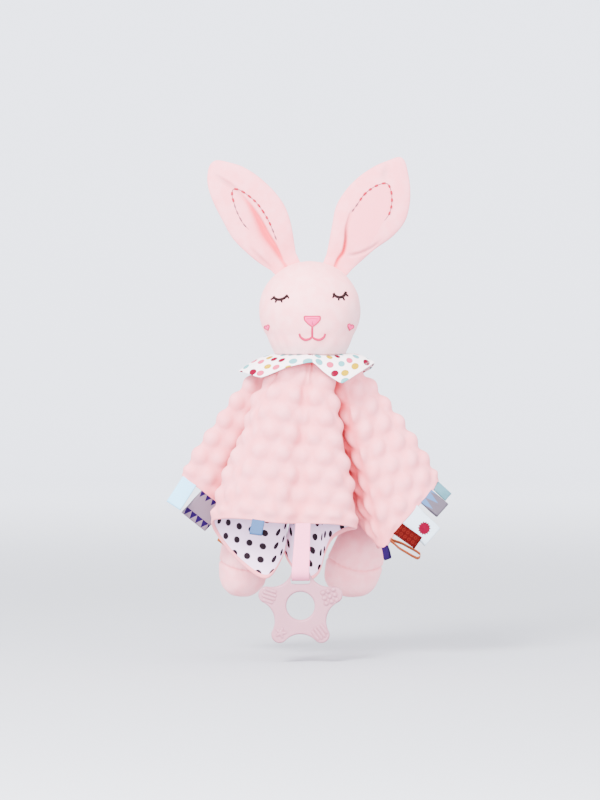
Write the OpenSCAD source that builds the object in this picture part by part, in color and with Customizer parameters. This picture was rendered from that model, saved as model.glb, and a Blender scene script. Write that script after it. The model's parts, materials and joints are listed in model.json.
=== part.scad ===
// Stuffed bunny comforter: a plush head with two ears on a square, draped blanket,
// with a collar, ribbon loops along its edges, two feet and a teething star on a strap.
// Origin at the neck, +Z up, the face looks along -Y.

/* [Head] */
// Diameter of the stuffed head
head_d = 84; // [72:1:100]
// Thickness of the plush skin of the head and legs
skin_t = 1.5; // [1:0.1:2.2]
// Thickness of the raised embroidery threads
thread_t = 0.5; // [0.3:0.1:0.8]
// Diameter of the neck plug that joins the head to the blanket
neck_d = 34; // [28:1:40]
// Height of the neck plug below the head
neck_h = 1; // [0.6:0.2:1.6]

/* [Ears] */
// Length of an ear from its root to its tip
ear_len = 104; // [80:1:126]
// Greatest width of an ear
ear_w = 52; // [40:1:64]
// Width of an ear at its root
ear_root_w = 23; // [18:1:28]
// Greatest thickness of an ear
ear_t = 14; // [12:0.5:18]
// Thickness of an ear at its root
ear_root_t = 9.2; // [8:0.2:11]
// Thickness of the ear cloth
ear_cloth_t = 1.1; // [0.8:0.1:1.5]
// Angle round the head from its top to each ear's root
ear_place = 30; // [25:1:36]
// Lean of the left ear from the vertical
left_ear_lean = 35; // [28:1:42]
// Lean of the right ear from the vertical
right_ear_lean = 31; // [28:1:42]
// Length of one decorative stitch on an ear
stitch_len = 3.4; // [2.5:0.1:4.5]
// Thickness of the stitching thread
stitch_t = 0.8; // [0.5:0.1:1.2]

/* [Blanket] */
// Side of the square blanket
blanket_side = 300; // [260:5:360]
// Thickness of the bumpy plush layer
pile_t = 1.6; // [1.2:0.1:2]
// Thickness of the printed cotton lining
lining_t = 0.6; // [0.4:0.1:0.8]
// Thickness of the collar cloth
collar_t = 0.9; // [0.6:0.1:1.4]
// Reach of the collar, as its widest half width
collar_reach = 58; // [52:1:68]

/* [Legs] */
// Length of a leg from its seam to the bottom of the foot
leg_len = 64; // [52:1:77]
// Diameter of a foot
foot_d = 41; // [34:1:49]
// Diameter of the pinched top of a leg
leg_top_d = 16; // [12:1:20]
// Height of the foot seam above the bottom of the foot
foot_seam_h = 26; // [20:1:34]
// Distance between the two legs
leg_spacing = 94; // [82:1:108]

/* [Teether] */
// Diameter over the tips of the teething star
star_d = 74; // [66:1:84]
// Diameter over the valleys between the tips
star_root_d = 47.6; // [44:0.5:54]
// Radius of each rounded tip
tip_r = 7; // [6:0.5:8]
// Thickness of the star
star_t = 8; // [6:0.5:10]
// Diameter of the ring hole
ring_hole_d = 23.8; // [20:0.2:26]
// Height of the strap slot
slot_h = 5.6; // [4.5:0.1:7]
// Wall between the ring hole and the strap slot
slot_wall = 6.3; // [5:0.1:8]
// Height of the raised teething dots and ridges
relief_h = 0.7; // [0.4:0.1:1.2]
// Width of the strap
strap_w = 15; // [11:0.5:16]
// Thickness of the strap ribbon
strap_t = 0.8; // [0.5:0.1:1.2]
// Length of the strap from the hem to the middle of the star's top bar
strap_len = 39; // [34:1:60]

/* [Ribbon loops] */
// Thickness of the ribbon
ribbon_t = 0.5; // [0.3:0.1:0.8]

/* [Hidden] */

gap = 0.4;                      // running clearance between pieces that move
fit = 0.1;                      // clearance between a skin and its filling
head_r = head_d / 2;
head_z = head_r - 6.4;            // height of the head's centre above the neck
neck_r = neck_d / 2;
fine = 72;                      // facets of the round pieces
root_half = 0.55;               // half the inside of a ribbon loop where it is sewn in

collar_under = head_r + fit / 2 + thread_t + gap + collar_t;    // lies this far round the head
collar_in_r = neck_r + gap + 0.4;                              // and this far round the neck
function round_head(r) = head_z - sqrt(collar_under * collar_under - r * r);

// The hem of the draped blanket, clockwise from the middle of the front edge as seen
// from above: [angle on the flat cloth, x, y, z, fullness], for a 300 mm cloth. Each
// fold is one or two points, and fullness is how far out the cloth runs at the shoulder.
drape_side = 300;
hem = [
    [0, -9, -30, -143, 0.32],    [9, -30, -37, -142, 0.36],   [18, -55, -35, -139, 0.4],
    [25, -74, -25, -139, 0.4],   [30, -84, -9, -143, 0.36],   [34, -79, 5, -156, 0.26],
    [39, -61, 10, -178, 0.16],   [45, -39, 8, -192, 0.1],     [50, -26, 6, -178, 0.1],
    [55, -22, 9, -160, 0.1],     [60, -34, 21, -152, 0.1],    [67, -56, 25, -147, 0.16],
    [74, -73, 18, -133, 0.22],   [82, -90, 12, -119, 0.26],   [91, -109, 12, -105, 0.29],
    [100, -98, 31, -112, 0.26],  [112, -84, 40, -124, 0.24],  [124, -70, 36, -144, 0.2],
    [135, -62, 33, -158, 0.18],  [145, -68, 50, -150, 0.24],  [154, -62, 65, -142, 0.3],
    [166, -36, 74, -140, 0.32],  [180, -8, 79, -138, 0.32],   [194, 20, 76, -140, 0.32],
    [206, 46, 68, -142, 0.3],    [215, 60, 54, -150, 0.24],   [225, 58, 36, -168, 0.18],
    [236, 66, 37, -156, 0.2],    [248, 80, 35, -138, 0.24],   [260, 96, 28, -120, 0.26],
    [270, 108, 14, -109, 0.26],  [277, 101, 3, -119, 0.26],   [284, 87, -4, -133, 0.24],
    [291, 73, -8, -149, 0.24],   [298, 62, -5, -165, 0.2],    [303, 50, 6, -157, 0.15],
    [306, 38, 15, -143, 0.14],   [308, 24, 22, -143, 0.12],   [310, 6, 26, -148, 0.1],
    [312, -10, 27, -156, 0.1],   [314.5, -22, 20, -168, 0.1], [318, -17, 11, -182, 0.1],
    [322, -3, 6, -193, 0.1],     [326, 7, 5, -187, 0.12],     [330, 12, 4, -171, 0.15],
    [334, 18, 0, -158, 0.19],    [340, 28, -8, -151, 0.26],   [346, 37, -18, -148, 0.34],
    [352, 24, -30, -144, 0.36],  [356, 7, -32, -143, 0.34]
];
hem_scale = blanket_side / drape_side;
blanket_rows = [0, 0.05, 0.12, 0.25, 0.42, 0.6, 0.8, 1];
blanket_neck_z = round_head(collar_in_r) - pile_t - fit;

// The edge of the collar, in the same order: [angle, x, y, z], for a reach of 60
collar_drape = 60;
collar_edge = [
    [0, 1, -37, -9],    [22, -22, -38, -14], [48, -43, -36, -21], [70, -55, -22, -19],
    [88, -63, -6, -18], [112, -54, 16, -18], [136, -44, 34, -21], [180, 0, 42, -15],
    [224, 42, 34, -21], [248, 52, 16, -15],  [272, 55, -4, -9],   [292, 44, -24, -17],
    [314, 27, -41, -27], [340, 12, -39, -17]
];
collar_scale = collar_reach / collar_drape;
collar_rows = [0, 0.35, 0.7, 1];
collar_seat_r = 26.5;           // where the collar leaves the head

// The ribbon loops: [hem angle, width, length, opening, fold out of the cloth, slant]
pale_blue_tag = [87.2, 14, 23, 2.4, 16, -4];
lavender_tag = [78.6, 26, 25, 2.4, -9, 0];
left_orange_tag = [69.3, 9, 23, 2.4, 12, 0];
blue_tag = [14, 10.5, 13, 2.4, 32, 0];
navy_tag = [297.6, 6, 9, 2.4, 14, 0];
right_orange_tag = [294.7, 7, 27, 3.8, 4, -4];
red_tag = [291.1, 9, 20, 2.4, 18, 0];
white_tag = [285.9, 20, 27, 2.6, -12, 0];
grey_tag = [279, 15, 22, 2.6, 14, 0];
teal_tag = [274, 8, 19, 3.4, -8, -8];

function lerp(a, b, t) = a + (b - a) * t;
function unit(v) = v / norm(v);
function flat_wrap(p, turns) = [for (i = [0:len(p) - 1]) i == 0 ? p[0] + 360 * turns : p[i]];
// Control point i of a closed list, with its angle carried on past a full turn
function around(points, i) =
    let (n = len(points), turns = floor(i / n)) flat_wrap(points[i - n * turns], turns);
// Smooth (Catmull-Rom) curve through a closed list, at a share f past point i
function smooth_at(points, i, f) =
    let (a = around(points, i - 1), b = around(points, i),
         c = around(points, i + 1), d = around(points, i + 2))
    0.5 * (2 * b + (c - a) * f + (2 * a - 5 * b + 4 * c - d) * f * f
           + (3 * b - a - 3 * c + d) * f * f * f);
function smooth_loop(points, steps) =
    [for (i = [0:len(points) - 1], k = [0:steps - 1]) smooth_at(points, i, k / steps)];
function straight_loop(points, steps) =
    [for (i = [0:len(points) - 1], k = [0:steps - 1])
        lerp(around(points, i), around(points, i + 1), k / steps)];

function bezier(a, b, c, d, s) =
    pow(1 - s, 3) * a + 3 * s * pow(1 - s, 2) * b + 3 * s * s * (1 - s) * c + pow(s, 3) * d;

// One point of the blanket: from the neck, over the shoulder, down to the hem
function blanket_point(h, s) =
    let (away = [-sin(h[0]), -cos(h[0]), 0],
         neck = away * (neck_r + gap + lining_t + fit) + [0, 0, blanket_neck_z],
         foot = [h[1], h[2], h[3]] * hem_scale,
         out = [foot[0], foot[1], 0],
         full = out * h[4])
    bezier(neck,
           neck + full + away * max(0, 2.5 - full * away) + [0, 0, -5],
           [neck[0] * 0.3, neck[1] * 0.3, foot[2] * 0.38] + out * (h[4] + 0.25),
           foot, s);

// One point of the collar: round the bottom of the head, then out to its edge
function collar_point(c, s) =
    let (out = [-sin(c[0]), -cos(c[0]), 0],
         seat_z = round_head(collar_seat_r),
         neck_z = round_head(collar_in_r),
         edge = [c[1], c[2], c[3]] * collar_scale)
    bezier(out * collar_in_r + [0, 0, neck_z],
           out * (collar_seat_r - 4) + [0, 0, lerp(neck_z, seat_z, 0.4)],
           out * (collar_seat_r + 3) + [0, 0, seat_z],
           edge, s);

// Directions square to a grid of points that closes round on itself
function grid_normals(g) =
    let (rows = len(g), cols = len(g[0]))
    [for (i = [0:rows - 1]) [for (j = [0:cols - 1])
        let (down = g[min(i + 1, rows - 1)][j] - g[max(i - 1, 0)][j],
             side = g[i][(j + 1) % cols] - g[i][(j + cols - 1) % cols])
        unit(cross(side, down))]];
function offset_grid(g, n, d) =
    [for (i = [0:len(g) - 1]) [for (j = [0:len(g[0]) - 1]) g[i][j] + n[i][j] * d]];

function flatten(rows) = [for (row = rows) for (p = row) p];

// A closed solid between two grids of points; the first grid is the outer face.
// ring is true where the grids close round on themselves.
module slab(outer, inner, ring) {
    rows = len(outer);
    cols = len(outer[0]);
    last = ring ? cols - 1 : cols - 2;
    base = rows * cols;
    function at(i, j) = i * cols + j % cols;
    polyhedron(
        points = concat(flatten(outer), flatten(inner)),
        faces = [
            for (i = [0:rows - 2], j = [0:last])
                each [[at(i, j), at(i + 1, j + 1), at(i, j + 1)],
                      [at(i, j), at(i + 1, j), at(i + 1, j + 1)],
                      [base + at(i, j), base + at(i, j + 1), base + at(i + 1, j + 1)],
                      [base + at(i, j), base + at(i + 1, j + 1), base + at(i + 1, j)]],
            for (j = [0:last])
                each [[at(0, j), base + at(0, j + 1), base + at(0, j)],
                      [at(0, j), at(0, j + 1), base + at(0, j + 1)],
                      [at(rows - 1, j), base + at(rows - 1, j), base + at(rows - 1, j + 1)],
                      [at(rows - 1, j), base + at(rows - 1, j + 1), at(rows - 1, j + 1)]],
            if (!ring) for (i = [0:rows - 2])
                each [[at(i, 0), base + at(i + 1, 0), at(i + 1, 0)],
                      [at(i, 0), base + at(i, 0), base + at(i + 1, 0)],
                      [at(i, cols - 1), at(i + 1, cols - 1), base + at(i + 1, cols - 1)],
                      [at(i, cols - 1), base + at(i + 1, cols - 1), base + at(i, cols - 1)]]
        ],
        convexity = 10);
}

module to_head() { translate([0, 0, head_z]) children(); }

module head_cover() {
    color("mistyrose") to_head() difference() {
        sphere(r = head_r, $fn = fine);
        sphere(r = head_r - skin_t, $fn = fine);
    }
}

module head_filling() {
    color("white") to_head() sphere(r = head_r - skin_t - fit, $fn = fine);
}

// A thin raised patch on the face, cut to a flat outline seen from the front
module on_face() {
    to_head() intersection() {
        difference() {
            sphere(r = head_r + fit / 2 + thread_t, $fn = fine);
            sphere(r = head_r + fit / 2, $fn = fine);
        }
        rotate([90, 0, 0]) linear_extrude(height = head_r + 2) children();
    }
}

module arc_band(r, w, from, to) {
    steps = 10;
    polygon(concat(
        [for (i = [0:steps]) let (a = lerp(from, to, i / steps)) (r + w / 2) * [cos(a), sin(a)]],
        [for (i = [steps:-1:0]) let (a = lerp(from, to, i / steps)) (r - w / 2) * [cos(a), sin(a)]]));
}

eye_r = 7;                      // radius of the closed eyelid's arc
eye_x = 25;
eye_z = 11;                     // above the head's centre
lash_len = 3;
module closed_eye(side) {
    translate([side * eye_x, eye_z + (side + 1) * 1.1 + 4]) {
        arc_band(eye_r, 1.1, -148, -32);
        for (a = [-148, -108, -76, -32])
            rotate(a) translate([eye_r + 0.2, -0.45]) square([lash_len, 0.9]);
    }
}

module left_eye() { color("dimgray") on_face() closed_eye(-1); }
module right_eye() { color("dimgray") on_face() closed_eye(1); }

nose_w = 11.6;
nose_h = 7.6;
nose_z = -5.4;                    // top of the nose, from the head's centre
nose_round = 1.6;
module nose() {
    half = nose_w / 2;
    color("hotpink") on_face() translate([1.5, nose_z]) {
        polygon([[-half, -nose_round], [-half + nose_round, 0], [half - nose_round, 0],
                 [half, -nose_round], [0.9, -nose_h], [-0.9, -nose_h]]);
    }
}

smile_r = 5.4;
smile_drop = 6.6;               // from the nose's tip to where the two curves part
module mouth() {
    color("palevioletred") on_face() translate([1.5, nose_z - nose_h - gap]) {
        translate([-0.55, -smile_drop]) square([1.1, smile_drop]);
        for (side = [-1, 1])
            translate([side * smile_r, -smile_drop + 0.6])
                arc_band(smile_r, 1.1, side > 0 ? -180 : -165, side > 0 ? -15 : 0);
    }
}

heart_w = 5;
module heart() {
    lobe = heart_w / 3.4;
    for (side = [-1, 1]) translate([side * lobe * 0.75, 0]) circle(r = lobe, $fn = 24);
    polygon([[-lobe * 1.55, -lobe * 0.6], [lobe * 1.55, -lobe * 0.6], [0, -lobe * 2.6]]);
    translate([-lobe * 0.8, -lobe * 0.7]) square([lobe * 1.6, lobe]);
}

cheek_x = 34;
cheek_z = -13;
module left_cheek_heart() { color("lightcoral") on_face() translate([-cheek_x, cheek_z]) heart(); }
module right_cheek_heart() { color("lightcoral") on_face() translate([cheek_x, cheek_z]) heart(); }

// The stuffed plug under the head; its top is a shallow cup that the head turns in
module neck_plug() {
    color("mistyrose") difference() {
        translate([0, 0, head_z - head_r - neck_h]) cylinder(r = neck_r, h = neck_h + 7, $fn = fine);
        to_head() sphere(r = head_r + gap, $fn = fine);
    }
}

// Ears: half width and half thickness along the ear, from -root radius to the tip
ear_root_r = ear_root_t / 2;
ear_rows = 17;
ear_cols = 10;
function ear_l(i) = i < 3 ? -ear_root_r * cos(30 * i + 4) : ear_len * sin(90 * (i - 3) / (ear_rows - 3));
function ear_half_w(l) =
    let (u = max(0, l) / ear_len)
    u > 0.46 ? 0.6 + (ear_w / 2 - 0.6) * sqrt(max(0, 1 - pow((u - 0.46) / 0.54, 1.65)))
             : lerp(ear_root_w / 2, ear_w / 2, sin(90 * u / 0.46));
function ear_half_t(l) =
    l < 0 ? sqrt(max(0, ear_root_r * ear_root_r - l * l))
          : let (u = l / ear_len) u < 0.45
            ? lerp(ear_root_r, ear_t / 2, sin(200 * u)) : ear_t / 2 * sqrt(max(0, 1 - pow((u - 0.45) / 0.58, 2)));
// One point of an ear's front (side -1) or back (side 1), a depth under its surface
function ear_point(l, v, side, depth) =
    let (t = ear_half_t(l) * pow(1 - pow(v, 4), 0.5))
    [ear_half_w(l) * v, side * max(depth > 0 ? 0.1 : 0.9, t - depth), l];
function ear_face(side, depth, from, to, cols) =
    [for (i = [from:to]) [for (j = [0:cols])
        ear_point(ear_l(i), (2 * j - cols) / ear_cols, side, depth)]];

// Carries an ear from its own frame, rooted on its hinge axis, to the head
module to_ear(side) {
    lean = (side < 0 ? left_ear_lean : right_ear_lean) - ear_place;
    to_head() rotate([0, side * ear_place, 0])
        translate([0, 0, (head_r + gap + ear_root_r) / cos(lean)])
            rotate([0, side * lean, 0]) children();
}

module ear_layer(side, face) {
    outer = ear_face(face, 0, 0, ear_rows, ear_cols);
    inner = ear_face(face, ear_cloth_t, 0, ear_rows, ear_cols);
    to_ear(side) if (face < 0) slab(outer, inner, false); else slab(inner, outer, false);
}

module ear_filling(side) {
    depth = ear_cloth_t + fit;
    front = ear_face(-1, depth, 3, ear_rows - 3, ear_cols - 2);
    back = ear_face(1, depth, 3, ear_rows - 3, ear_cols - 2);
    to_ear(side) slab(front, back, false);
}

// The running stitches lie along the inside of the ear's outline, round its tip
stitch_inset = 0.52;            // share of the half width
stitch_low = 0.34;              // share of the ear's length where they start
stitch_high = 0.74;
stitches = 19;
function stitch_place(k) =
    let (a = lerp(-115, 115, k / (stitches - 1)),
         l = ear_len * lerp(stitch_low, stitch_high, (cos(a) + 0.42) / 1.42),
         v = stitch_inset * sin(a))
    ear_point(l, v, -1, 0);

module ear_stitches(side) {
    to_ear(side) for (k = [0:stitches - 1]) {
        p = stitch_place(k);
        along = unit(stitch_place(k + 0.4) - stitch_place(k - 0.4));
        translate([p[0], p[1] - 2 * fit - stitch_t, p[2]])
            rotate([0, atan2(along[0], along[2]), 0])
                translate([-stitch_t / 2, 0, -stitch_len / 2]) cube([stitch_t, stitch_t, stitch_len]);
    }
}

module left_ear_front() { color("pink") ear_layer(-1, -1); }
module left_ear_back() { color("mistyrose") ear_layer(-1, 1); }
module left_ear_filling() { color("white") ear_filling(-1); }
module left_ear_stitches() { color("crimson") ear_stitches(-1); }
module right_ear_front() { color("pink") ear_layer(1, -1); }
module right_ear_back() { color("mistyrose") ear_layer(1, 1); }
module right_ear_filling() { color("white") ear_filling(1); }
module right_ear_stitches() { color("crimson") ear_stitches(1); }

module collar() {
    loop = straight_loop(collar_edge, 4);
    grid = [for (s = collar_rows) [for (c = loop) collar_point(c, s)]];
    normals = grid_normals(grid);
    color("white") slab(offset_grid(grid, normals, collar_t), grid, true);
}

blanket_steps = 3;
blanket_grid = [for (s = blanket_rows) [for (h = smooth_loop(hem, blanket_steps)) blanket_point(h, s)]];
blanket_normals = grid_normals(blanket_grid);

module blanket_plush() {
    color("pink") slab(offset_grid(blanket_grid, blanket_normals, pile_t), blanket_grid, true);
}

module blanket_lining() {
    color("lavenderblush")
        slab(blanket_grid, offset_grid(blanket_grid, blanket_normals, -lining_t), true);
}

// Legs: radius at each depth under the seam, for a skin taken in by inset
leg_top_r = leg_top_d / 2;
foot_r = foot_d / 2;
leg_wide_at = 0.66;             // share of the length where the foot is widest
leg_steps = 16;
function leg_radius(d) =
    let (u = d / leg_len)
    u < leg_wide_at ? lerp(leg_top_r, foot_r, sin(90 * u / leg_wide_at))
                    : foot_r * sqrt(max(0, 1 - pow((u - leg_wide_at) / (1 - leg_wide_at), 2)));
module leg_shape(inset) {
    rotate_extrude($fn = fine) polygon(concat(
        [for (k = [0:4]) let (a = 90 - 18 * k) [(leg_top_r - inset) * cos(a), (leg_top_r - inset) * sin(a)]],
        [for (k = [1:leg_steps - 1]) [leg_radius(leg_len * k / leg_steps) - inset * leg_inset_share(k), -leg_len * k / leg_steps]],
        [[0, -leg_len + inset]]));
}
// The skin keeps its thickness, but near the sole the profile turns under
function leg_inset_share(k) = k > leg_steps - 3 ? 1.7 : 1;

leg_middle = -12.2;             // the blanket's hem hangs a little to the left
leg_y = 70;
leg_z = -139;
module to_leg(side) {
    translate([(leg_middle * hem_scale + side * leg_spacing / 2), leg_y * hem_scale,
               leg_z * hem_scale - leg_top_r - lining_t - gap - leg_drop(side)]) children();
}
function leg_drop(side) = side < 0 ? 1.2 : 1.6;

module leg_shell() {
    difference() { leg_shape(0); leg_shape(skin_t); }
}
module above_seam(top) {
    h = leg_len + leg_top_r;
    translate([0, 0, top ? foot_seam_h - leg_len + fit / 2 : foot_seam_h - leg_len - fit / 2 - h])
        cylinder(r = foot_r + 1, h = h, $fn = fine);
}
module leg_cover(side) {
    color("mistyrose") to_leg(side) intersection() { leg_shell(); above_seam(true); }
}
module foot_cover(side) {
    color("mistyrose") to_leg(side) intersection() { leg_shell(); above_seam(false); }
}
module leg_filling(side) { color("white") to_leg(side) leg_shape(skin_t + fit); }

module left_leg_cover() { leg_cover(-1); }
module left_foot_cover() { foot_cover(-1); }
module left_leg_filling() { leg_filling(-1); }
module right_leg_cover() { leg_cover(1); }
module right_foot_cover() { foot_cover(1); }
module right_leg_filling() { leg_filling(1); }

// The teething star: round tips joined by round valleys that meet them smoothly
star_r = star_d / 2;
tip_at = star_r - tip_r;
root_r = star_root_d / 2;
valley_at = (tip_at * tip_at - pow(root_r - tip_r, 2)) / (2 * (tip_at * cos(36) - (root_r - tip_r)));
valley_r = valley_at - root_r;
slot_low = ring_hole_d / 2 + slot_wall;
slot_w = strap_w + 3 * gap;
bar_mid = (slot_low + slot_h + star_r) / 2;      // middle of the bar above the slot
bar_half = (star_r - slot_low - slot_h) / 2;
loop_r = sqrt(bar_half * bar_half + star_t * star_t / 4) + gap;

module star_outline(inset) {
    difference() {
        union() {
            difference() {
                polygon([for (i = [0:9]) let (a = 90 + 36 * i, d = i % 2 == 0 ? tip_at : valley_at)
                    d * [cos(a), sin(a)]]);
                for (i = [0:4]) rotate(126 + 72 * i) translate([valley_at, 0])
                    circle(r = valley_r + inset, $fn = fine);
            }
            for (i = [0:4]) rotate(90 + 72 * i) translate([tip_at, 0]) circle(r = tip_r - inset, $fn = fine);
        }
    }
}

edge_step = 0.8;                // the moulded edge is stepped in this much on each face
module teether_star() {
    color("mistyrose") to_star() difference() {
        union() {
            translate([0, 0, -star_t / 2]) linear_extrude(height = star_t) star_outline(edge_step);
            translate([0, 0, -star_t / 2 + edge_step])
                linear_extrude(height = star_t - 2 * edge_step) star_outline(0);
            star_relief();
        }
        translate([0, 0, -star_t]) cylinder(d = ring_hole_d, h = 2 * star_t, $fn = fine);
        translate([-slot_w / 2, slot_low, -star_t]) cube([slot_w, slot_h, 2 * star_t]);
    }
}

dot_r = 1.3;
dot_pitch = 4.4;
ridge_len = 11;
ridge_w = 1.4;
ridge_pitch = 3.8;
module star_relief() {
    face = star_t / 2 - 0.2;
    rotate(18 - 90) for (i = [-1:1], j = [-1:1])
        translate([i * dot_pitch, tip_at - 4 + j * dot_pitch, face])
            cylinder(r = dot_r, h = relief_h + 0.2, $fn = 24);
    for (turn = [72, -144, 144]) rotate(turn) for (i = [-1:1])
        translate([i * ridge_pitch - ridge_w / 2, tip_at - ridge_len / 2 - 2, face])
            cube([ridge_w, ridge_len, relief_h + 0.2]);
}

// The strap hangs from the middle of the front hem; the star hangs in its loop
strap_top = blanket_point(around(hem, 0), 1) 
    + [0, (lining_t - pile_t) / 2, -root_half - strap_t + fit];
star_pivot = strap_top + [0, 0, -strap_len];
module to_star() {
    translate(star_pivot) rotate([90, 0, 0]) translate([0, -bar_mid, 0]) children();
}

// Outline of a ribbon loop seen from its side: a thin root that opens to a round end
function loop_outline(length, r) =
    let (tilt = asin((r - root_half) / length))
    concat([for (a = [180 - tilt:-20:tilt]) root_half * [cos(a), sin(a)]],
           [for (a = [tilt:-15:-180 - tilt]) [0, -length] + r * [cos(a), sin(a)]]);
module ribbon_loop(length, r, t, w) {
    rotate([90, 0, 90]) translate([0, 0, -w / 2]) linear_extrude(height = w) difference() {
        polygon(loop_outline(length, r + t));
        translate([0, -2.2 * t]) polygon(loop_outline(length - 2.2 * t, r));
    }
}

module teether_strap() {
    color("lightpink") translate(strap_top) ribbon_loop(strap_len, loop_r, strap_t, strap_w);
}

// A ribbon loop sewn into the hem, which carries on the line of the cloth
function hem_at(angle) =
    let (i = max([for (k = [0:len(hem) - 1]) hem[k][0] <= angle ? k : 0]),
         a = around(hem, i), b = around(hem, i + 1))
    smooth_at(hem, i, (angle - a[0]) / (b[0] - a[0]));
module tag(t) {
    half = t[1] / blanket_side * 95;
    middle = blanket_point(hem_at(t[0]), 1);
    wide = unit(blanket_point(hem_at(t[0] - half), 1) - blanket_point(hem_at(t[0] + half), 1));
    cloth = middle - blanket_point(hem_at(t[0]), 0.9);
    down = unit(cloth - wide * (cloth * wide));
    thick = cross(down, wide);
    seat = middle + down * (root_half + ribbon_t + gap / 2 + t[1] / 2 * sin(abs(t[5]))) + thick * (pile_t - lining_t) / 2;
    multmatrix([[wide[0], thick[0], -down[0], seat[0]],
                [wide[1], thick[1], -down[1], seat[1]],
                [wide[2], thick[2], -down[2], seat[2]],
                [0, 0, 0, 1]])
        rotate([t[4], 0, 0]) rotate([0, t[5], 0]) ribbon_loop(t[2], t[3] / 2, ribbon_t, t[1]);
}

module pale_blue_loop() { color("powderblue") tag(pale_blue_tag); }
module lavender_loop() { color("thistle") tag(lavender_tag); }
module left_orange_loop() { color("sandybrown") tag(left_orange_tag); }
module blue_loop() { color("steelblue") tag(blue_tag); }
module navy_loop() { color("navy") tag(navy_tag); }
module right_orange_loop() { color("sandybrown") tag(right_orange_tag); }
module red_loop() { color("darkred") tag(red_tag); }
module white_loop() { color("white") tag(white_tag); }
module grey_loop() { color("slategray") tag(grey_tag); }
module teal_loop() { color("cadetblue") tag(teal_tag); }

head_cover();
head_filling();
left_eye();
right_eye();
nose();
mouth();
left_cheek_heart();
right_cheek_heart();
neck_plug();
left_ear_front();
left_ear_back();
left_ear_filling();
left_ear_stitches();
right_ear_front();
right_ear_back();
right_ear_filling();
right_ear_stitches();
collar();
blanket_plush();
blanket_lining();
left_leg_cover();
left_foot_cover();
left_leg_filling();
right_leg_cover();
right_foot_cover();
right_leg_filling();
teether_strap();
teether_star();
pale_blue_loop();
lavender_loop();
left_orange_loop();
blue_loop();
navy_loop();
right_orange_loop();
red_loop();
white_loop();
grey_loop();
teal_loop();
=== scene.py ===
"""The stuffed bunny comforter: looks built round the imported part, in its own frame.

Millimetres are used while shaping; grid() turns them into metres. Each piece is a grid of
points given by a formula of two parameters, written in the docstring of its function.
"""
import json

import bpy
import numpy as np
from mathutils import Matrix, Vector
from mathutils.bvhtree import BVHTree

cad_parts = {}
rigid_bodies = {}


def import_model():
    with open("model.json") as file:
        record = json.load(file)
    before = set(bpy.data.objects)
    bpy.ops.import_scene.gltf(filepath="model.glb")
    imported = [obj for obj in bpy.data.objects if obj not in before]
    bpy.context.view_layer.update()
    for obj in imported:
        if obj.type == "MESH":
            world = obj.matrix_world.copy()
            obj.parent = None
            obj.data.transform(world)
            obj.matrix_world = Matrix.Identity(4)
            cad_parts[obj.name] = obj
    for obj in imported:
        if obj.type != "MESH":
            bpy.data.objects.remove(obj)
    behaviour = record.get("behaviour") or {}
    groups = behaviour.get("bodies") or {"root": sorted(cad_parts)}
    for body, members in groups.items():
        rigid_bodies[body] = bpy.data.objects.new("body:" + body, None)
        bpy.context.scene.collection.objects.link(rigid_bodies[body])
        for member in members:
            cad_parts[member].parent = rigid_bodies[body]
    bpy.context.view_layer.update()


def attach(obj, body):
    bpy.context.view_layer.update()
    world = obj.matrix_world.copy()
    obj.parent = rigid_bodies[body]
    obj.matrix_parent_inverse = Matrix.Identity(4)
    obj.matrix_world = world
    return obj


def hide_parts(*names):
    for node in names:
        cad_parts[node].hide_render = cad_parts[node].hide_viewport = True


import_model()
rng = np.random.default_rng(7)

# ---------------------------------------------------------------- sizes, in millimetres
HEAD_R, HEAD_Z = 42.0, 35.6  # the ball that the ears and the collar are set round
HEAD_X, HEAD_WIDE, HEAD_DEEP, HEAD_TALL = -0.9, 43.0, 40.5, 41.6
DIMPLES = ((-26, 45.5, 8, 0.7), (24.5, 48, 8, 0.7), (0.9, 25, 9, 0.8))  # x, z, radius, depth
NECK_R = 17.0  # the gathered neck
UP = np.array([0, 0, 1.0])
EAR_ROOT_R = 4.6  # half thickness of an ear at its seam
EAR_SEAM = EAR_ROOT_R + 4.4  # how far below its hinge an ear is tucked into the head
SIDE = 300.0  # the square cloth before it is gathered
CLOTH_MIDDLE = (0, 12, -60)  # a place inside the drape, for telling its outside
PILE, LINING = 1.6, 0.6  # thicknesses of the plush and of the cotton
STAR_PIVOT = np.array([-9.0, -30.5, -183.25])
STRAP_TOP = np.array([-9.0, -30.5, -144.25])
BAR_MID = 30.4  # from the star's middle to the middle of the bar its strap holds
HOLE_R, STAR_HALF = 11.9, 4.0  # the star's round hole and half its thickness
SLOT_WIDE, SLOT_TALL, SLOT_LOW = 16.2, 5.6, 18.2

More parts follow.
